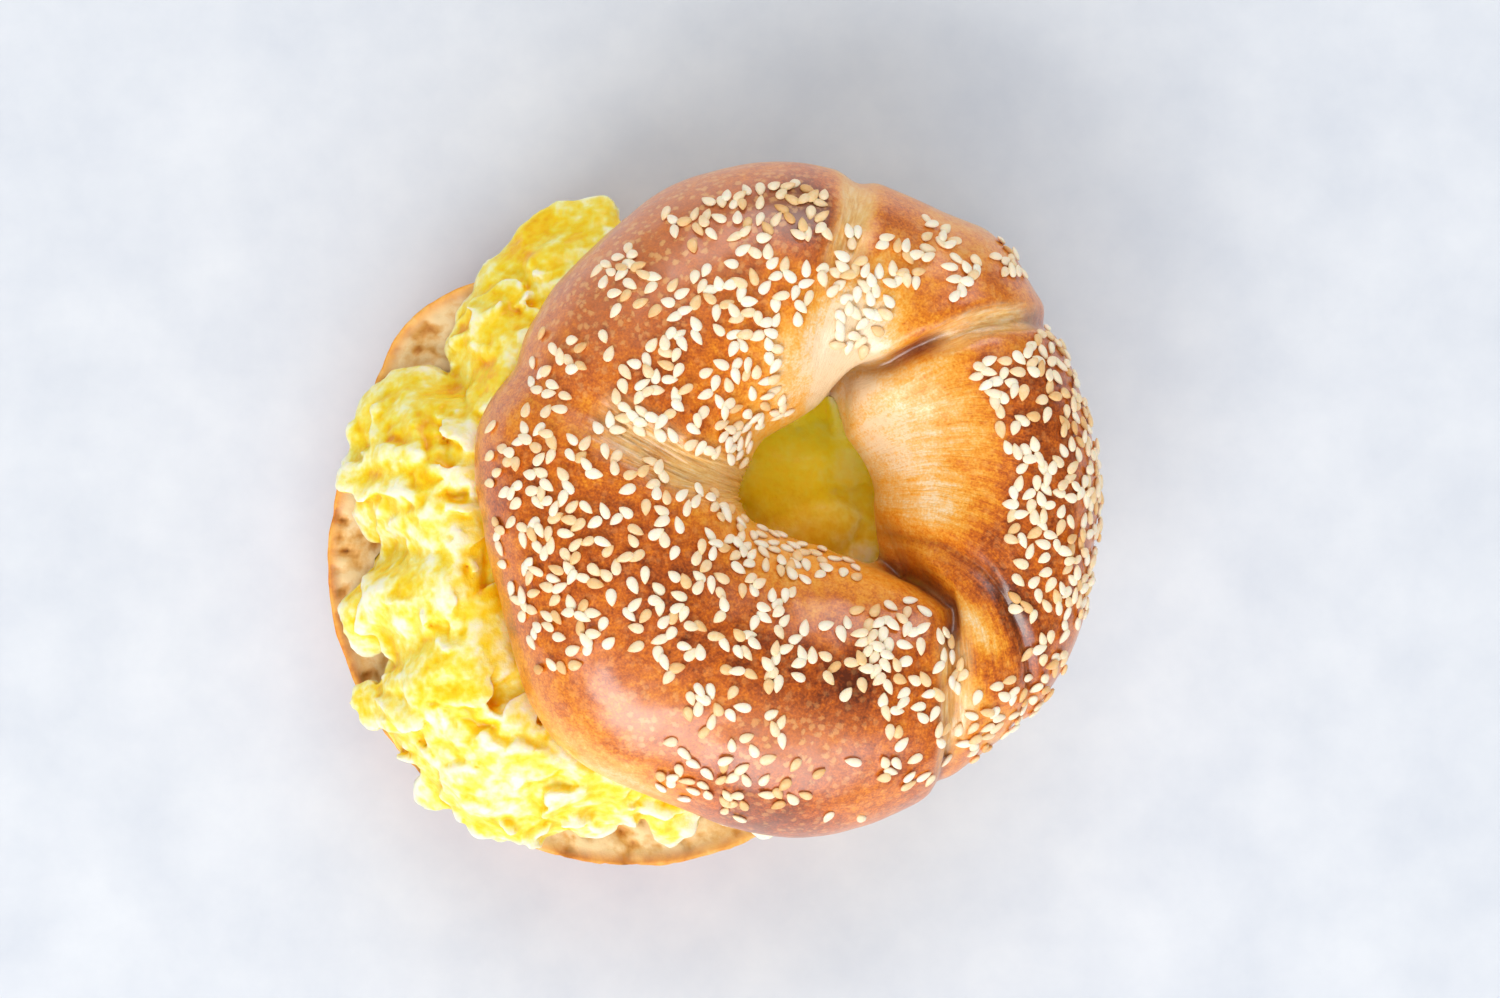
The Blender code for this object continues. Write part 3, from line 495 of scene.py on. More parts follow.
def mesh_object(name, points, faces):
    mesh = bpy.data.meshes.new(name)
    mesh.from_pydata((np.asarray(points) * MM).tolist(), [], faces)
    obj = bpy.data.objects.new(name, mesh)
    bpy.context.scene.collection.objects.link(obj)
    shape = bmesh.new()
    shape.from_mesh(mesh)
    bmesh.ops.recalc_face_normals(shape, faces=shape.faces)
    shape.to_mesh(mesh)
    shape.free()
    mesh.shade_smooth()
    return obj


def unit_sphere(segments, rings):
    shape = bmesh.new()
    bmesh.ops.create_uvsphere(shape, u_segments=segments, v_segments=rings, radius=1)
    points = np.array([v.co for v in shape.verts], float)
    faces = [[v.index for v in f.verts] for f in shape.faces]
    shape.free()
    return points, faces


def joined(shapes):
    """The points and faces of several shapes as those of one."""
    all_faces, start = [], 0
    for points, faces in shapes:
        all_faces.extend([[i + start for i in face] for face in faces])
        start += len(points)
    return np.concatenate([points for points, _ in shapes]), all_faces


def ring_quads(columns, rows):
    """Faces of a closed ring: columns sections, each a closed loop of rows points."""
    i, j = np.meshgrid(np.arange(columns), np.arange(rows), indexing="ij")
    over, along = (j + 1) % rows, (i + 1) % columns
    quads = np.stack([i * rows + j, along * rows + j, along * rows + over, i * rows + over], -1)
    return quads.reshape(-1, 4).tolist()


def paint(obj, name, values):
    """Stores one number or one vector a vertex, for the material to read."""
    values = np.asarray(values, np.float32)
    kind, field = ("FLOAT", "value") if values.ndim == 1 else ("FLOAT_VECTOR", "vector")
    obj.data.attributes.new(name, kind, "POINT").data.foreach_set(field, values.ravel())


def noise_at(points, size, seed=0):
    """Smooth noise from -1 to 1 at points in millimetres; its lumps are about size across."""
    shift = Vector((seed, 2 * seed, -seed))
    values = [noise.noise(Vector(p) / size + shift) for p in points.reshape(-1, 3)]
    return np.array(values).reshape(points.shape[:-1])


def grid_normals(points, upward):
    """Unit normals of a grid that closes on itself both ways; its row of this number faces up."""
    around = np.roll(points, -1, 0) - np.roll(points, 1, 0)
    over = np.roll(points, -1, 1) - np.roll(points, 1, 1)
    normals = np.cross(around, over)
    normals /= np.linalg.norm(normals, axis=-1, keepdims=True) + 1e-9
    return -normals if normals[0, upward, 2] < 0 else normals


def placed(points, matrix):
    """Points in millimetres moved by a matrix in metres."""
    turn = np.array(matrix.to_3x3())
    return points @ turn.T + np.array(matrix.translation) / MM


# The top half


def patch_weight(angle, share, patch, falloff=2):
    """1 in the middle of a patch of the crust, 0 well outside it."""
    middle, at, half_angle, half_share = patch
    away = (turned_apart(angle, middle) / half_angle) ** 2 + ((share - at) / half_share) ** 2
    return np.exp(-(away**falloff))


def bake_at(angle, share):
    """How far the crust is baked, and how much painted pinkish sheen lies on it."""
    base = np.interp(share, *np.array(BASE_BAKE).T)
    painted_sheen = np.zeros_like(base)
    for *patch, change, painted_sheen_amount in BAKE_PATCHES:
        weight = patch_weight(angle, share, patch, BAKE_FALLOFF)
        base = base + change * weight
        painted_sheen = np.maximum(painted_sheen, painted_sheen_amount * weight)
    return base, painted_sheen


def crease_shade_at(angle, share, radius):
    """Painted shade: 1 in the bottom of a fold, 0 away from it."""
    crease = np.zeros_like(radius)
    for name, (at_hole, at_edge, half_width, _) in FOLD_SHAPES.items():
        across = across_fold(name, angle, share, radius)
        depth = (at_hole + (at_edge - at_hole) * share) / CREASE_SHADE_DEPTH
        crease = np.maximum(crease, depth * np.exp(-((across / (CREASE_SHADE_WIDTH * half_width)) ** 2)))
    return np.clip(crease, 0, 1)


def fine_folds(angle, share, radius):
    """Creases and torn wrinkles on the broad folds: their relief, where it is torn, and the painted
    shadow along the closed creases.
    """
    relief, torn, crease_shadow = np.zeros_like(radius), np.zeros_like(radius), np.zeros_like(radius)
    for name, (crease, wrinkle, half_width, start, end) in FINE_FOLDS.items():
        across = across_fold(name, angle, share, radius)
        band = np.exp(-((across / half_width) ** 4))
        opened = np.clip((share - start) / TEAR_FADE, 0, 1) * np.clip((end - share) / TEAR_FADE, 0, 1)
        closed = crease * (1 - opened) * np.clip((CREASE_END - share) / CREASE_FADE, 0, 1)
        relief -= closed * np.exp(-np.abs(across) / CREASE_SHARPNESS)
        own_noise = np.full_like(share, half_width)
        strands = np.stack([across / STRAND_WIDTH, share * STRAND_WAVES, own_noise], -1)
        relief += wrinkle * opened * band * (noise_at(strands, 1) - 0.3)
        torn = np.maximum(torn, band * opened)
        crease_shadow = np.maximum(crease_shadow, np.minimum(closed, 1) * np.exp(-np.abs(across) / CREASE_SHADOW_WIDTH))
    return relief, torn, crease_shadow


def stretched_at(angle, share):
    """1 where the dough was pulled thin and streaky, 0 elsewhere."""
    return np.max([patch_weight(angle, share, patch) for patch in STRETCHED], axis=0)


def even_sections(count):
    """Section angles that space points evenly over a typical section of the dome."""
    fine = np.linspace(0, 180, 1441)
    radius, rise, _ = dome_section(np.full_like(fine, 200), fine)
    gone = np.concatenate([[0], np.cumsum(np.hypot(np.diff(radius), np.diff(rise)))])
    return np.interp(np.linspace(0, gone[-1], count), gone, fine)


def make_top():
    angles = np.linspace(0, 360, TOP_COLUMNS, endpoint=False)
    angle, section = np.meshgrid(angles, even_sections(TOP_DOME_ROWS), indexing="ij")
    _, _, share = dome_section(angle, section)
    bent = steered(angle.ravel(), share.ravel()).reshape(angle.shape)
    dome = dome_points(bent, section)
    across = np.arange(1, TOP_CUT_ROWS + 1) / (TOP_CUT_ROWS + 1)
    cut = dome[:, -1:, :] + (dome[:, :1, :] - dome[:, -1:, :]) * across[None, :, None]
    points = np.concatenate([dome, cut], axis=1)
    normals = grid_normals(points, TOP_DOME_ROWS // 2)

    over_cut = ((0, 0), (0, TOP_CUT_ROWS))
    on_dome = np.pad(np.clip(dome[..., 2] / 3, 0, 1), over_cut)
    sharp, torn, crease_shadow = fine_folds(bent, share, np.hypot(dome[..., 0], dome[..., 1]))
    lumps = 0.30 * noise_at(points, 13) + 0.16 * noise_at(points, 5, 3)
    lumps += 0.05 * noise_at(points, 2, 7) + np.pad(sharp, over_cut)
    crumb = 0.5 * noise_at(points, 2.4, 9) - 0.3
    push = np.where(on_dome > 0, lumps * on_dome, crumb)
    points = points + normals * push[..., None]

    spread = np.concatenate([share, np.broadcast_to(across, (len(angles), len(across)))], 1)
    turn = np.concatenate([bent, np.repeat(bent[:, :1], TOP_CUT_ROWS, 1)], 1)
    bake, painted_sheen = bake_at(turn, spread)
    radius = np.hypot(points[..., 0], points[..., 1])
    arc = np.cumsum(np.linalg.norm(np.diff(points[0], axis=0, prepend=points[:1, 0]), axis=-1))
    flow = cylindrical(FLOW_RADIUS, np.radians(angles)[:, None], arc)
    where = placed(points.reshape(-1, 3), top_frame())
    top = mesh_object("bagel_top_crust", where, ring_quads(*points.shape[:2]))
    painted = {
        "bake": bake,
        # painted pinkish sheen
        "painted_sheen": painted_sheen,
        # painted shade in the bottom of the folds
        "crease": crease_shade_at(turn, spread, radius) * on_dome,
        "torn": np.pad(torn, over_cut),
        # painted shadow along the closed creases
        "crease_shadow": np.pad(crease_shadow, over_cut),
        "stretched": stretched_at(turn, spread),
        "crumb": on_dome <= 0,
    }
    for name, values in painted.items():
        paint(top, name, values.ravel())
    paint(top, "flow", flow.reshape(-1, 3))
    return top


# The seeds


def seed_unit():
    """Points and faces of one seed of length 1, width 1 and thickness 1, pointed at one end."""
    points, faces = unit_sphere(*SEED_MESH)
    y, z, x = points.T
    taper = 0.98 * (1 - 0.96 * x) ** 0.32
    return np.stack([x / 2, y / 2 * taper, z / 2 * (1 - 0.15 * x)], -1), faces


def make_seeds():
    draw = np.random.default_rng(SEED_RANDOM + 1)
    unit, faces = seed_unit()
    shapes, tones = [], []
    ring = top_frame()
    for angle, section, heading, piled in seed_places(SEED_COUNT):
        size = draw.uniform(*SEED_SIZES, 3) * (SEED_LENGTH, SEED_WIDTH, SEED_THICKNESS)
        loose = SEED_PILED_TILT if piled else 1
        roll = Matrix.Rotation(math.radians(draw.uniform(-SEED_ROLL, SEED_ROLL) * loose), 4, "X")
        pitch = Matrix.Rotation(math.radians(draw.uniform(-SEED_PITCH, SEED_PITCH) * loose), 4, "Y")
        turn = Matrix.Rotation(math.radians(heading), 4, "Z")
        height = draw.uniform(*SEED_LIFTS) + SEED_PILED_LIFT * piled
        lift = Matrix.Translation(Vector((0, 0, height)) * MM)
        matrix = ring @ surface_frame(angle, section) @ lift @ turn @ pitch @ roll
        shapes.append((placed(unit * size, matrix), faces))
        _, _, share = dome_section(np.array([angle]), np.array([section]))
        bake, _ = bake_at(np.array([angle]), share)
        outer = np.clip((share[0] - 0.6) / 0.4, 0, 1)
        toasted = 0.06 + 0.60 * draw.uniform() ** 3 + 0.5 * max(bake[0] - 0.58, 0)
        tones.append(toasted + 0.30 * outer * draw.uniform())
    seeds = mesh_object("sesame_seeds", *joined(shapes))
    paint(seeds, "tone", np.repeat(tones, len(unit)))
    paint(seeds, "along", np.tile(unit[:, 0] + 0.5, len(shapes)))
    return seeds


# The egg


def core_shape(unit):
    """Where points of a unit sphere go to make the heap."""
    reach, turn = polar(unit[:, 0], unit[:, 1])
    spread = reach**0.75
    radius = periodic(EGG_STATIONS, 1, np.degrees(turn)) * spread
    x = BOTTOM_CENTRE[0] + radius * np.cos(turn)
    y = BOTTOM_CENTRE[1] + radius * np.sin(turn)
    under = BOTTOM_HEIGHT - EGG_SAG + EGG_EDGE_RISE / 2 * spread**20
    return np.stack([x, y, np.where(unit[:, 2] > 0, heap_height(x, y), under)], -1)


def sheet_rows():
    """Torn sheets over the bare crescent, as rows for sheet_shape()."""
    draw = np.random.default_rng(SHEET_RANDOM)
    rows = []
    for count, lengths, widths, lifts, slopes in SHEET_KINDS:
        for _ in range(count):
            angle = draw.uniform(*CRESCENT)
            length = draw.uniform(*lengths)
            width = length * draw.uniform(*widths)
            edge = periodic(EGG_STATIONS, 1, np.array([angle]))[0]
            reach = min(edge * draw.uniform(*SHEET_REACHES), edge + SHEET_OVERHANG - length / 2)
            x = BOTTOM_CENTRE[0] + reach * math.cos(math.radians(angle))
            y = BOTTOM_CENTRE[1] + reach * math.sin(math.radians(angle))
            heading = angle + 90 + draw.normal(0, SHEET_HEADINGS)
            lift, slope = draw.uniform(*lifts), draw.uniform(*slopes)
            rows.append((x, y, lift, length, width, heading, slope, draw.uniform(0, 6)))
    return rows


def sheet_shape(unit, row):
    """One flat sheet of egg with a frayed outline: one side stands up, the other dives under."""
    lift, slope, phase = row[2], *row[6:]
    reach, turn = polar(unit[:, 0], unit[:, 1])
    outline = np.ones_like(turn)
    for waves, size in SHEET_FRAY:
        outline += size * np.sin(waves * turn + waves * phase)
    spread = reach**0.6 * outline
    tilt = slope * spread * np.cos(turn - phase)
    return laid_on_heap(unit, row, spread, turn, lift * (0.84 + 0.16 * unit[:, 2]) + tilt)


def egg_ceiling(x, y):
    """How high egg may stand: under the top half's cut, and a little higher outside its crust."""
    from_hole, turn = polar(x, y, TOP_HOLE_CENTRE)
    outside = from_hole - periodic(TOP_STATIONS, 1, np.degrees(turn))
    under_skirt = np.clip(1 + outside / SKIRT_TUCK, 0, 1)
    free = np.clip(outside / 6, 0, 1)
    return cut_height(x, y) - GAP + 1.4 * under_skirt**2 + 2.2 * free


def smoothed(points, edges, rounds):
    """Points after rounds of averaging with their neighbours."""
    size = len(points)
    first, second = edges.T
    count = np.bincount(edges.ravel(), minlength=size)[:, None]
    for _ in range(rounds):
        total = [
            np.bincount(first, values[second], size) + np.bincount(second, values[first], size)
            for values in points.T
        ]
        points = points / 2 + np.stack(total, -1) / count / 2
    return points


def read(items, field, width, kind=float):
    """One field of all a mesh's vertices or edges."""
    values = np.empty(len(items) * width, kind)
    items.foreach_get(field, values)
    return values.reshape(-1, width)


def fused(obj):
    """One skin around everything in an object's mesh, by a voxel remesh: its new mesh."""
    modifier = obj.modifiers.new("fuse", "REMESH")
    modifier.mode = "VOXEL"
    modifier.voxel_size = EGG_VOXEL * MM
    graph = bpy.context.evaluated_depsgraph_get()
    mesh = bpy.data.meshes.new_from_object(obj.evaluated_get(graph))
    obj.modifiers.clear()
    obj.data = mesh
    return mesh


def between_halves(points):
    """The egg's points, kept under the top half's cut and above the bottom half's."""
    x, y, z = points.T
    over = np.maximum(z - (egg_ceiling(x, y) - CEILING_SOFTNESS), 0)
    z = z - (over - CEILING_SOFTNESS * (1 - np.exp(-over / CEILING_SOFTNESS)))
    from_middle, turn = polar(x, y, BOTTOM_CENTRE)
    on_bottom = from_middle < periodic(BOTTOM_STATIONS, 1, np.degrees(turn)) + GAP
    return np.stack([x, y, np.where(on_bottom, np.maximum(z, BOTTOM_HEIGHT + GAP), z)], -1)


def make_egg():
    core, core_faces = unit_sphere(*EGG_CORE_MESH)
    unit, faces = unit_sphere(*CURD_MESH)
    shapes = [(core_shape(core), core_faces)]
    shapes += [(curd_shape(unit, row), faces) for row in CURDS]
    shapes += [(sheet_shape(unit, row), faces) for row in sheet_rows()]
    rough, all_faces = joined(shapes)
    wander = np.stack([noise_at(rough, EGG_WANDER_SIZE, seed) for seed in (11, 23, 37)], -1)
    egg = mesh_object("egg_folds", rough + wander * EGG_WANDER, all_faces)

    mesh = fused(egg)
    edges, normals = read(mesh.edges, "vertices", 2, int), read(mesh.vertices, "normal", 3)
    points = smoothed(read(mesh.vertices, "co", 3) / MM, edges, 2)
    points += EGG_SHARPENING * (points - smoothed(points, edges, 7))
    ridges = 0.25 - np.abs(noise_at(points * EGG_FIBRES, 1.7, 8))
    push = 0.22 * noise_at(points, 3.4, 2) + 0.26 * ridges
    points = points + normals * push[:, None]
    from_hole, _ = polar(points[:, 0], points[:, 1], TOP_HOLE_CENTRE)
    hollow = np.exp(-((from_hole / EGG_HOLLOW_REACH) ** 6))
    points += (smoothed(points, edges, 30) - points) * 0.85 * hollow[:, None]
    points = between_halves(points)
    mesh.vertices.foreach_set("co", (points * MM).astype(np.float32).ravel())
    mesh.update()
    mesh.shade_smooth()

    normals = read(mesh.vertices, "normal", 3)
    paint(egg, "hollow", hollow)
    # heights over the neighbours: the material paints ridges paler as highlight and crevices deeper as
    # shade
    for name, rounds, fully in (("raised", 40, 1.2), ("crinkle", 6, 0.25)):
        height = ((points - smoothed(points, edges, rounds)) * normals).sum(-1)
        paint(egg, name, np.clip(height / fully, -1, 1))
    return egg


# The bottom half


def make_bottom():
    angles = np.linspace(0, 360, BOTTOM_COLUMNS, endpoint=False)
    turn = np.radians(angles)[:, None]
    outer = periodic(BOTTOM_STATIONS, 1, angles)[:, None]
    inner = periodic(BOTTOM_STATIONS, 2, angles)[:, None]
    width = outer - inner
    section = np.radians(np.linspace(0, 180, BOTTOM_CRUST_ROWS))
    power = 2 / OUTER_FULLNESS
    share = BOTTOM_CREST_SHARE + np.sign(np.cos(section)) * np.abs(np.cos(section)) ** power / 2
    depth = np.minimum(BOTTOM_HEIGHT / BOTTOM_FLAT_SHARE * np.sin(section) ** power, BOTTOM_HEIGHT)
    crust = cylindrical(inner + width * share[None, :], turn, BOTTOM_HEIGHT - depth)
    across = np.arange(1, BOTTOM_CUT_ROWS + 1) / (BOTTOM_CUT_ROWS + 1)
    cut_radius = inner + width * across[None, :]
    inside = np.clip(np.minimum(outer - cut_radius, cut_radius - inner) / RIM_WIDTH, 0, 1)
    cut = cylindrical(cut_radius, turn, BOTTOM_HEIGHT - RIM_HEIGHT * inside)
    points = np.concatenate([crust, cut], 1)
    normals = grid_normals(points, -BOTTOM_CUT_ROWS // 2)

    crumb = np.pad(inside, ((0, 0), (BOTTOM_CRUST_ROWS, 0)))
    holes = sum(
        amount * np.clip(noise_at(points, size, seed) - threshold, 0, 1)
        for size, seed, threshold, amount in PORES
    )
    torn = -PORE_DEPTH * holes + 0.9 * noise_at(points, 5, 6) - 0.5
    skin = 0.45 * noise_at(points, 8, 1) + 0.22 * noise_at(points, 2.6, 2)
    skin -= 0.5 * np.clip(noise_at(points, 1.5, 7) - 0.25, 0, 1)
    above_foot = np.clip(points[..., 2] / FOOT_HEIGHT, 0, 1)
    push = (torn * crumb + skin * (1 - crumb)) * above_foot
    points = points + normals * push[..., None]
    points[..., 2] = np.clip(points[..., 2], 0, BOTTOM_HEIGHT)

    where = points.reshape(-1, 3) + (*BOTTOM_CENTRE, 0)
    bottom = mesh_object("bagel_bottom_half", where, ring_quads(*points.shape[:2]))
    paint(bottom, "crumb", crumb.ravel())
    # painted shade: how far a point is sunk into a pore or dent
    paint(bottom, "pit_shade", np.clip(-push / PIT_SHADE_FULLY, 0, 1).ravel())
    paint(bottom, "low", np.clip((BOTTOM_HEIGHT - points[..., 2]) / LOW_FULLY, 0, 1).ravel())
    return bottom


# Materials


def node(tree, kind, inputs=None, **settings):
    """A shader node: sockets take a value or another node's output."""
    made = tree.nodes.new("ShaderNode" + kind)
    for key, value in settings.items():
        setattr(made, key, value)
    for key, value in (inputs or {}).items():
        if isinstance(value, bpy.types.NodeSocket):
            tree.links.new(value, made.inputs[key])
        else:
            made.inputs[key].default_value = value
    return made


def maths(tree, operation, *values, clamp=False):
    return node(tree, "Math", dict(enumerate(values)), operation=operation, use_clamp=clamp).outputs[0]


def object_place(tree):
    return node(tree, "TexCoord").outputs["Object"]


def attributes(tree, *names):
    return [node(tree, "Attribute", attribute_name=name).outputs["Fac"] for name in names]


def scaled(tree, value, factor, plus=0, clamp=False):
    """A value times a factor, plus something."""
    return maths(tree, "MULTIPLY_ADD", value, factor, plus, clamp=clamp)


def noises(tree, where, *settings):
    """Noise textures at a place, each of a scale, a detail and a roughness."""
    made = []
    for scale, detail, roughness in settings:
        inputs = {"Vector": where, "Scale": scale, "Detail": detail, "Roughness": roughness}
        made.append(node(tree, "TexNoise", inputs).outputs["Fac"])
    return made


def ramp(tree, factor, stops):
    made = node(tree, "ValToRGB", {"Fac": factor})
    elements = made.color_ramp.elements
    while len(elements) < len(stops):
        elements.new(0.5)
    for element, (position, colour) in zip(elements, stops):
        element.position = position
        element.color = (*colour, 1)
    return made.outputs["Color"]


def mixed(tree, factor, first, second):
    """A mix of two colours, the second a socket or three numbers."""
    if not isinstance(second, bpy.types.NodeSocket):
        second = (*second, 1)
    return node(tree, "Mix", {"Factor": factor, 6: first, 7: second}, data_type="RGBA").outputs[2]


def shifted(tree, level, *layers):
    """A level moved up and down by noises, each (noise, amount)."""
    for noisy, amount in layers:
        level = maths(tree, "MULTIPLY_ADD", maths(tree, "SUBTRACT", noisy, 0.5), amount, level)
    return level


def material(name, **settings):
    """A new material and its tree, with these values on its shader's sockets."""
    made = bpy.data.materials.new(name)
    made.use_nodes = True
    shader = made.node_tree.nodes["Principled BSDF"]
    for key, value in settings.items():
        shader.inputs[key.replace("_", " ")].default_value = value
    return made, made.node_tree


def surfaced(made, colour, rough=None, bumps=()):
    """A material fed a colour, a roughness and bumps, each (height, millimetres, strength)."""
    tree, normal = made.node_tree, None
    for height, distance, strength in bumps:
        inputs = {"Height": height, "Distance": distance * MM, "Strength": strength}
        if normal is not None:
            inputs["Normal"] = normal
        normal = node(tree, "Bump", inputs).outputs["Normal"]
    for name, socket in (("Base Color", colour), ("Roughness", rough), ("Normal", normal)):
        if socket is not None:
            tree.links.new(socket, tree.nodes["Principled BSDF"].inputs[name])
    return made


CRUST_RAMP = (  # from hardly baked to nearly burnt
    (0, (0.96, 0.73, 0.45)), (0.14, (0.95, 0.59, 0.22)),
    (0.30, (0.95, 0.44, 0.055)), (0.44, (0.89, 0.31, 0.012)),
    (0.56, (0.75, 0.19, 0.004)), (0.70, (0.54, 0.106, 0.003)),
    (0.85, (0.30, 0.050, 0.003)), (1, (0.12, 0.021, 0.004)),
)
STRAND_RAMP = ((0.3, (0.78, 0.38, 0.085)), (0.5, (0.97, 0.64, 0.22)), (0.7, (1, 0.84, 0.50)))
TOP_CRUMB_RAMP = ((0.3, (0.80, 0.52, 0.24)), (0.7, (0.93, 0.76, 0.50)))
# painted sheen: the pinkish reflection of the windows on the glaze
PAINTED_SHEEN_COLOUR = (0.70, 0.25, 0.105)
BLISTER_COLOUR = (0.86, 0.44, 0.15)
# painted shadow along the closed creases
CREASE_SHADOW_COLOUR = (0.17, 0.05, 0.012)
SEED_RAMP = (
    (0, (1, 0.92, 0.75)), (0.3, (1, 0.81, 0.55)),
    (0.6, (0.92, 0.60, 0.27)), (1, (0.74, 0.36, 0.09)),
)
EGG_RAMP = (  # from its deepest folds to its palest rims: painted shade in the folds, painted highlight on the rims
    (0, (0.90, 0.38, 0.0015)), (0.22, (0.98, 0.56, 0.003)),
    (0.42, (1, 0.68, 0.018)), (0.60, (1, 0.78, 0.11)),
    (0.76, (1, 0.87, 0.34)), (0.98, (1, 0.93, 0.68)),
)
# the egg in the top half's hole: painted shade, deeper orange on its south side and paler where
# painted light reaches its north side
HOLE_LIGHT_RAMP = ((0.1, (0.80, 0.34, 0.001)), (0.5, (1, 0.68, 0.002)), (0.9, (1, 0.86, 0.020)))
# the crumb, from painted shade deep in its pores to its own pale tan
CUT_RAMP = (
    (0, (0.30, 0.085, 0.008)), (0.3, (0.60, 0.24, 0.035)),
    (0.55, (0.80, 0.44, 0.12)), (0.85, (0.92, 0.68, 0.36)),
)
PAPER_RAMP = ((0.3, (0.655, 0.685, 0.735)), (0.7, (0.75, 0.77, 0.80)))


def crust_material():
    coat = {"Coat_Weight": 1.0, "Coat_IOR": 1.75, "Coat_Roughness": 0.29}
    made, tree = material("glazed_crust", Specular_IOR_Level=0.1, **coat)
    where = object_place(tree)
    bake, painted_sheen, crease, crumb = attributes(tree, "bake", "painted_sheen", "crease", "crumb")
    torn, crease_shadow, stretched = attributes(tree, "torn", "crease_shadow", "stretched")
    flow = node(tree, "Attribute", attribute_name="flow").outputs["Vector"]
    drawn_out = node(tree, "VectorMath", {0: flow, 1: (1.0, 1.0, 0.10)}, operation="MULTIPLY")
    long_flow = drawn_out.outputs[0]
    streaks, hairs, bands = noises(tree, long_flow, (0.9, 4, 0.6), (2.6, 3, 0.6), (0.28, 3, 0.5))
    broad, patchy, grain = noises(tree, where, (85, 3, 0.55), (300, 4, 0.6), (900, 4, 0.65))
    speck, fine = noises(tree, where, (2300, 2, 0.5), (2600, 3, 0.6))
    level = shifted(
        tree,
        bake,
        (broad, 0.30),
        (streaks, scaled(tree, stretched, 0.40, 0.12)),
        (hairs, scaled(tree, stretched, 0.22, 0.04)),
        (bands, 0.26),
        (patchy, 0.46),
        (grain, 0.42),
        (speck, 0.50),
    )
    # painted shade: the crust is deeper in colour in the bottom of the folds
    level = scaled(tree, crease, 0.30, level)
    # painted sheen: a pinkish veil where the windows' reflection lies, broken up by noise
    painted_sheen_weight = scaled(tree, painted_sheen, scaled(tree, patchy, 0.9, 0.14))
    colour = mixed(tree, painted_sheen_weight, ramp(tree, level, CRUST_RAMP), PAINTED_SHEEN_COLOUR)

    cells = node(tree, "TexVoronoi", {"Vector": where, "Scale": 640.0})
    drawn_lot = node(tree, "SeparateColor", {"Color": cells.outputs["Color"]}).outputs[0]
    ragged = shifted(tree, cells.outputs["Distance"], (grain, 1.3))
    blister = scaled(tree, ragged, -5.0, 2.3, clamp=True)
    blister = scaled(tree, blister, maths(tree, "GREATER_THAN", drawn_lot, 0.22))
    speckled = scaled(tree, painted_sheen, 0.66, 0.14, clamp=True)
    blister = scaled(tree, blister, speckled)
    colour = mixed(tree, blister, colour, BLISTER_COLOUR)

    tears = scaled(tree, torn, scaled(tree, patchy, 1.2, 0.05), clamp=True)
    colour = mixed(tree, tears, colour, ramp(tree, hairs, STRAND_RAMP))
    # painted shadow along the closed creases
    colour = mixed(tree, scaled(tree, crease_shadow, 0.85), colour, CREASE_SHADOW_COLOUR)
    colour = mixed(tree, crumb, colour, ramp(tree, grain, TOP_CRUMB_RAMP))
    rough = scaled(tree, level, -0.20, 0.52)
    rough = scaled(tree, grain, 0.16, rough)
    pulled = scaled(tree, hairs, maths(tree, "ADD", stretched, torn, clamp=True))
    bumps = (
        (streaks, 0.25, 0.35),
        (pulled, 0.45, 0.6),
        (patchy, 0.30, 0.30),
        (grain, 0.20, 0.5),
        (blister, 0.16, 0.8),
        (fine, 0.06, 0.6),
    )
    return surfaced(made, colour, rough, bumps)


def seed_material():
    made, tree = material(
        "sesame_hull",
        Roughness=0.42,
        Subsurface_Weight=0.15,
        Subsurface_Scale=0.0008,
        Coat_Weight=0.12,
        Coat_Roughness=0.35,
    )
    tone, along = attributes(tree, "tone", "along")
    blotch, fine = noises(tree, object_place(tree), (1300, 3, 0.6), (4200, 2, 0.5))
    tip = maths(tree, "POWER", maths(tree, "MAXIMUM", along, 0.0), 6.0)
    level = scaled(tree, tip, 0.30, shifted(tree, tone, (blotch, 0.35)))
    colour = ramp(tree, level, SEED_RAMP)
    return surfaced(made, colour, bumps=((blotch, 0.06, 0.5), (fine, 0.03, 0.5)))


def egg_material():
    made, tree = material(
        "folded_egg",
        Subsurface_Weight=0.45,
        Subsurface_Scale=0.0035,
        Subsurface_Radius=(1.0, 0.62, 0.12),
        Coat_Weight=0.25,
        Coat_Roughness=0.16,
        Specular_IOR_Level=0.3,
    )
    where = object_place(tree)
    raised, crinkle, hollow = attributes(tree, "raised", "crinkle", "hollow")
    patches, flecks, fine = noises(tree, where, (130, 3, 0.55), (520, 3, 0.6), (1500, 3, 0.6))
    painted_light_northward = node(tree, "SeparateXYZ", {0: where}).outputs[1]
    # partly the egg's own paler tone, partly painted light: paler towards the south, where the windows
    # are, deeper on the shaded north side
    level = scaled(tree, painted_light_northward, -1.5, 0.57)
    # painted highlight on raised ridges, painted shade in crevices
    level = scaled(tree, raised, 0.44, level)
    level = scaled(tree, crinkle, 0.10, level)
    level = shifted(tree, level, (patches, 1.60), (flecks, 0.50))
    # painted light in the hole: paler to the north, which the windows reach, deeper in the shade on
    # its south side
    depth = scaled(tree, flecks, 0.5, 0.10)
    depth = scaled(tree, painted_light_northward, 28.0, depth)
    # the hole's egg takes this painted light and shade instead
    hole_light_mix = scaled(tree, hollow, 0.85)
    colour = mixed(tree, hole_light_mix, ramp(tree, level, EGG_RAMP), ramp(tree, depth, HOLE_LIGHT_RAMP))
    rough = scaled(tree, flecks, 0.25, 0.22)
    return surfaced(made, colour, rough, ((flecks, 0.45, 0.6), (fine, 0.14, 0.6)))


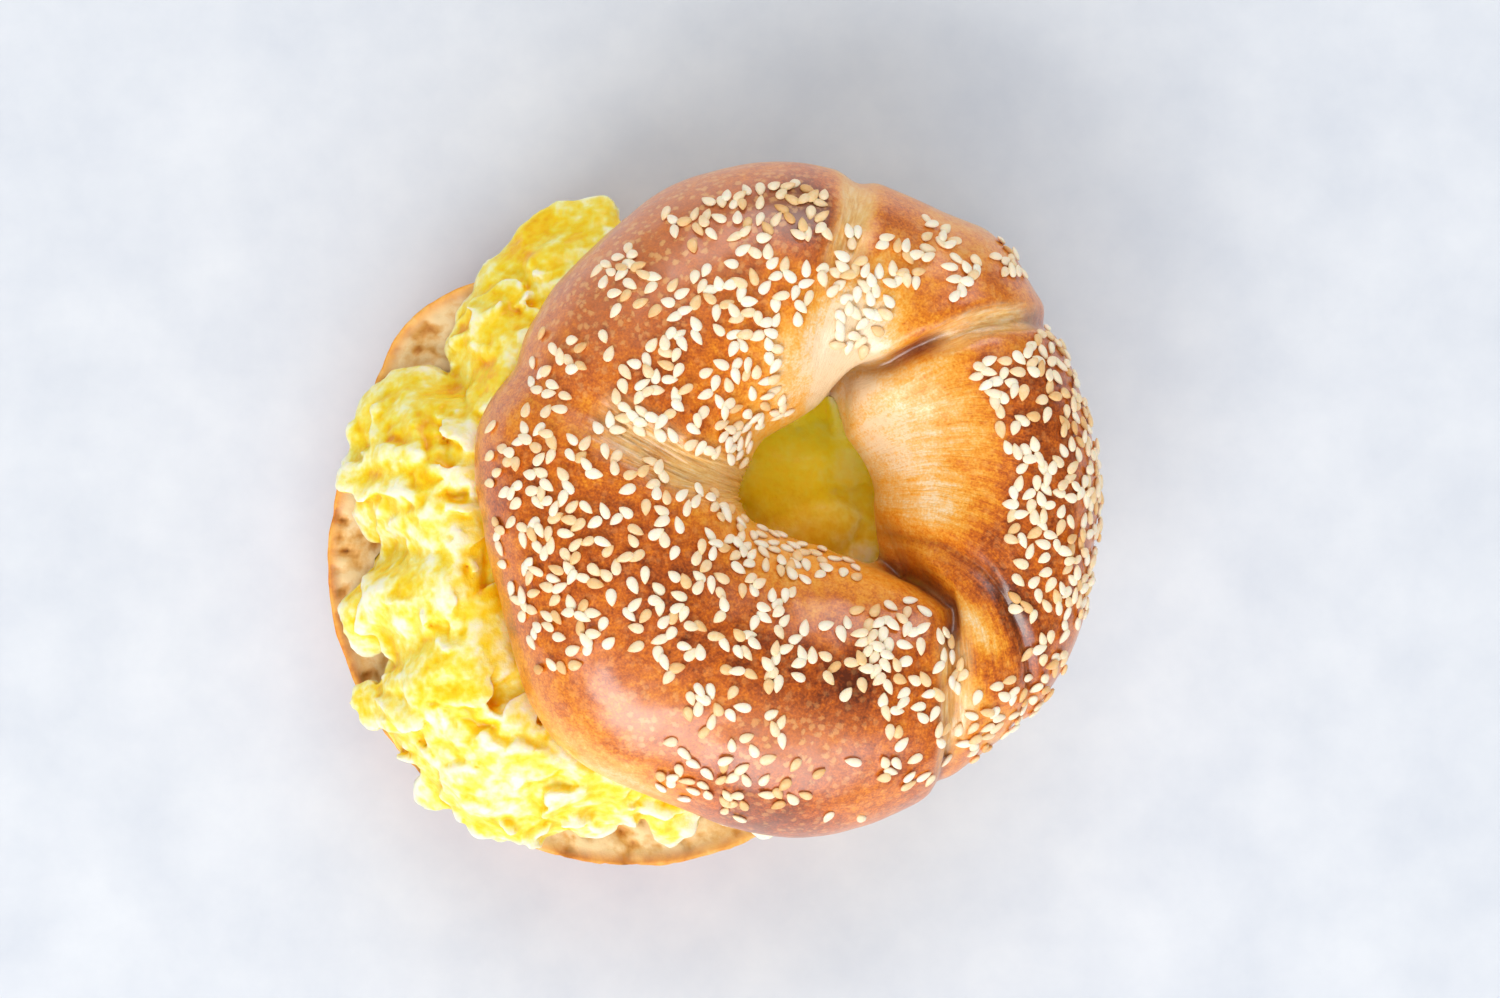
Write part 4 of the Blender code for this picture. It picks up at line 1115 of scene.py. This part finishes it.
def bottom_material():
    made, tree = material("bottom_crust_and_crumb", Coat_Weight=0.06, Coat_Roughness=0.4)
    crumb, pit_shade, low = attributes(tree, "crumb", "pit_shade", "low")
    broad, grain = noises(tree, object_place(tree), (110, 4, 0.6), (800, 4, 0.65))
    level = shifted(tree, 0.32, (broad, 0.8), (grain, 0.45))
    level = scaled(tree, low, 0.26, level)
    # painted shade: the crust deeper in colour in its dents
    level = scaled(tree, pit_shade, 0.9, level)
    # painted shade: the crumb darker in its pores
    cut_level = shifted(tree, maths(tree, "SUBTRACT", 1.05, pit_shade), (broad, 0.7), (grain, 0.5))
    colour = mixed(tree, crumb, ramp(tree, level, CRUST_RAMP), ramp(tree, cut_level, CUT_RAMP))
    rough = scaled(tree, grain, 0.2, 0.5)
    return surfaced(made, colour, rough, ((grain, 0.25, 0.6), (broad, 0.4, 0.3)))


def floor_material():
    made, tree = material("pale_paper", Roughness=0.7, Specular_IOR_Level=0.25)
    (mottle,) = noises(tree, object_place(tree), (42, 5, 0.6))
    return surfaced(made, ramp(tree, mottle, PAPER_RAMP))


# The studio


def area_light(name, direction, size, watts, colour, mirrored):
    light = bpy.data.lights.new(name, "AREA")
    light.shape = "RECTANGLE"
    light.size, light.size_y = size
    light.energy = watts
    light.color = colour
    made = bpy.data.objects.new(name, light)
    towards = Vector(direction).normalized()
    made.location = Vector(LIGHT_AIM) + towards * LIGHT_DISTANCE
    made.rotation_euler = towards.to_track_quat("Z", "Y").to_euler()
    made.visible_glossy = mirrored
    bpy.context.scene.collection.objects.link(made)


def make_sky():
    """A world that only fills the shadows: glossy surfaces don't mirror it."""
    world = bpy.data.worlds.new("studio")
    world.cycles_visibility.glossy = False
    bpy.context.scene.world = world
    world.use_nodes = True
    tree = world.node_tree
    sky = tree.nodes["Background"]
    sky.inputs["Color"].default_value = SKY_COLOUR
    upward = node(tree, "TexCoord").outputs["Generated"]
    height = node(tree, "SeparateXYZ", {0: upward}).outputs[2]
    strength = scaled(tree, height, -SKY_FALL, SKY_AT_HORIZON)
    tree.links.new(strength, sky.inputs["Strength"])


def make_studio():
    bpy.ops.mesh.primitive_plane_add(size=FLOOR_SIZE)
    floor = bpy.context.active_object
    floor.name = "paper_floor"
    floor.data.materials.append(floor_material())
    for row in LIGHTS:
        area_light(*row)
    make_sky()
    bpy.context.scene.view_settings.view_transform = "Standard"


def make_camera():
    data = bpy.data.cameras.new("camera")
    data.lens = CAMERA_LENS
    data.sensor_width = CAMERA_SENSOR
    camera = bpy.data.objects.new("camera", data)
    camera.location = CAMERA_PLACE
    bpy.context.scene.collection.objects.link(camera)
    bpy.context.scene.camera = camera


def dress(piece, made, slot, *nodes):
    piece.data.materials.clear()
    piece.data.materials.append(made)
    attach(piece, "root")
    if nodes:
        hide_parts(*nodes)


make_camera()
dress(make_bottom(), bottom_material(), "bagel_bottom", "bagel_bottom")
dress(make_egg(), egg_material(), "egg", "egg")
dress(make_top(), crust_material(), "bagel_top", "bagel_top")
dress(make_seeds(), seed_material(), "bagel_top")
make_studio()
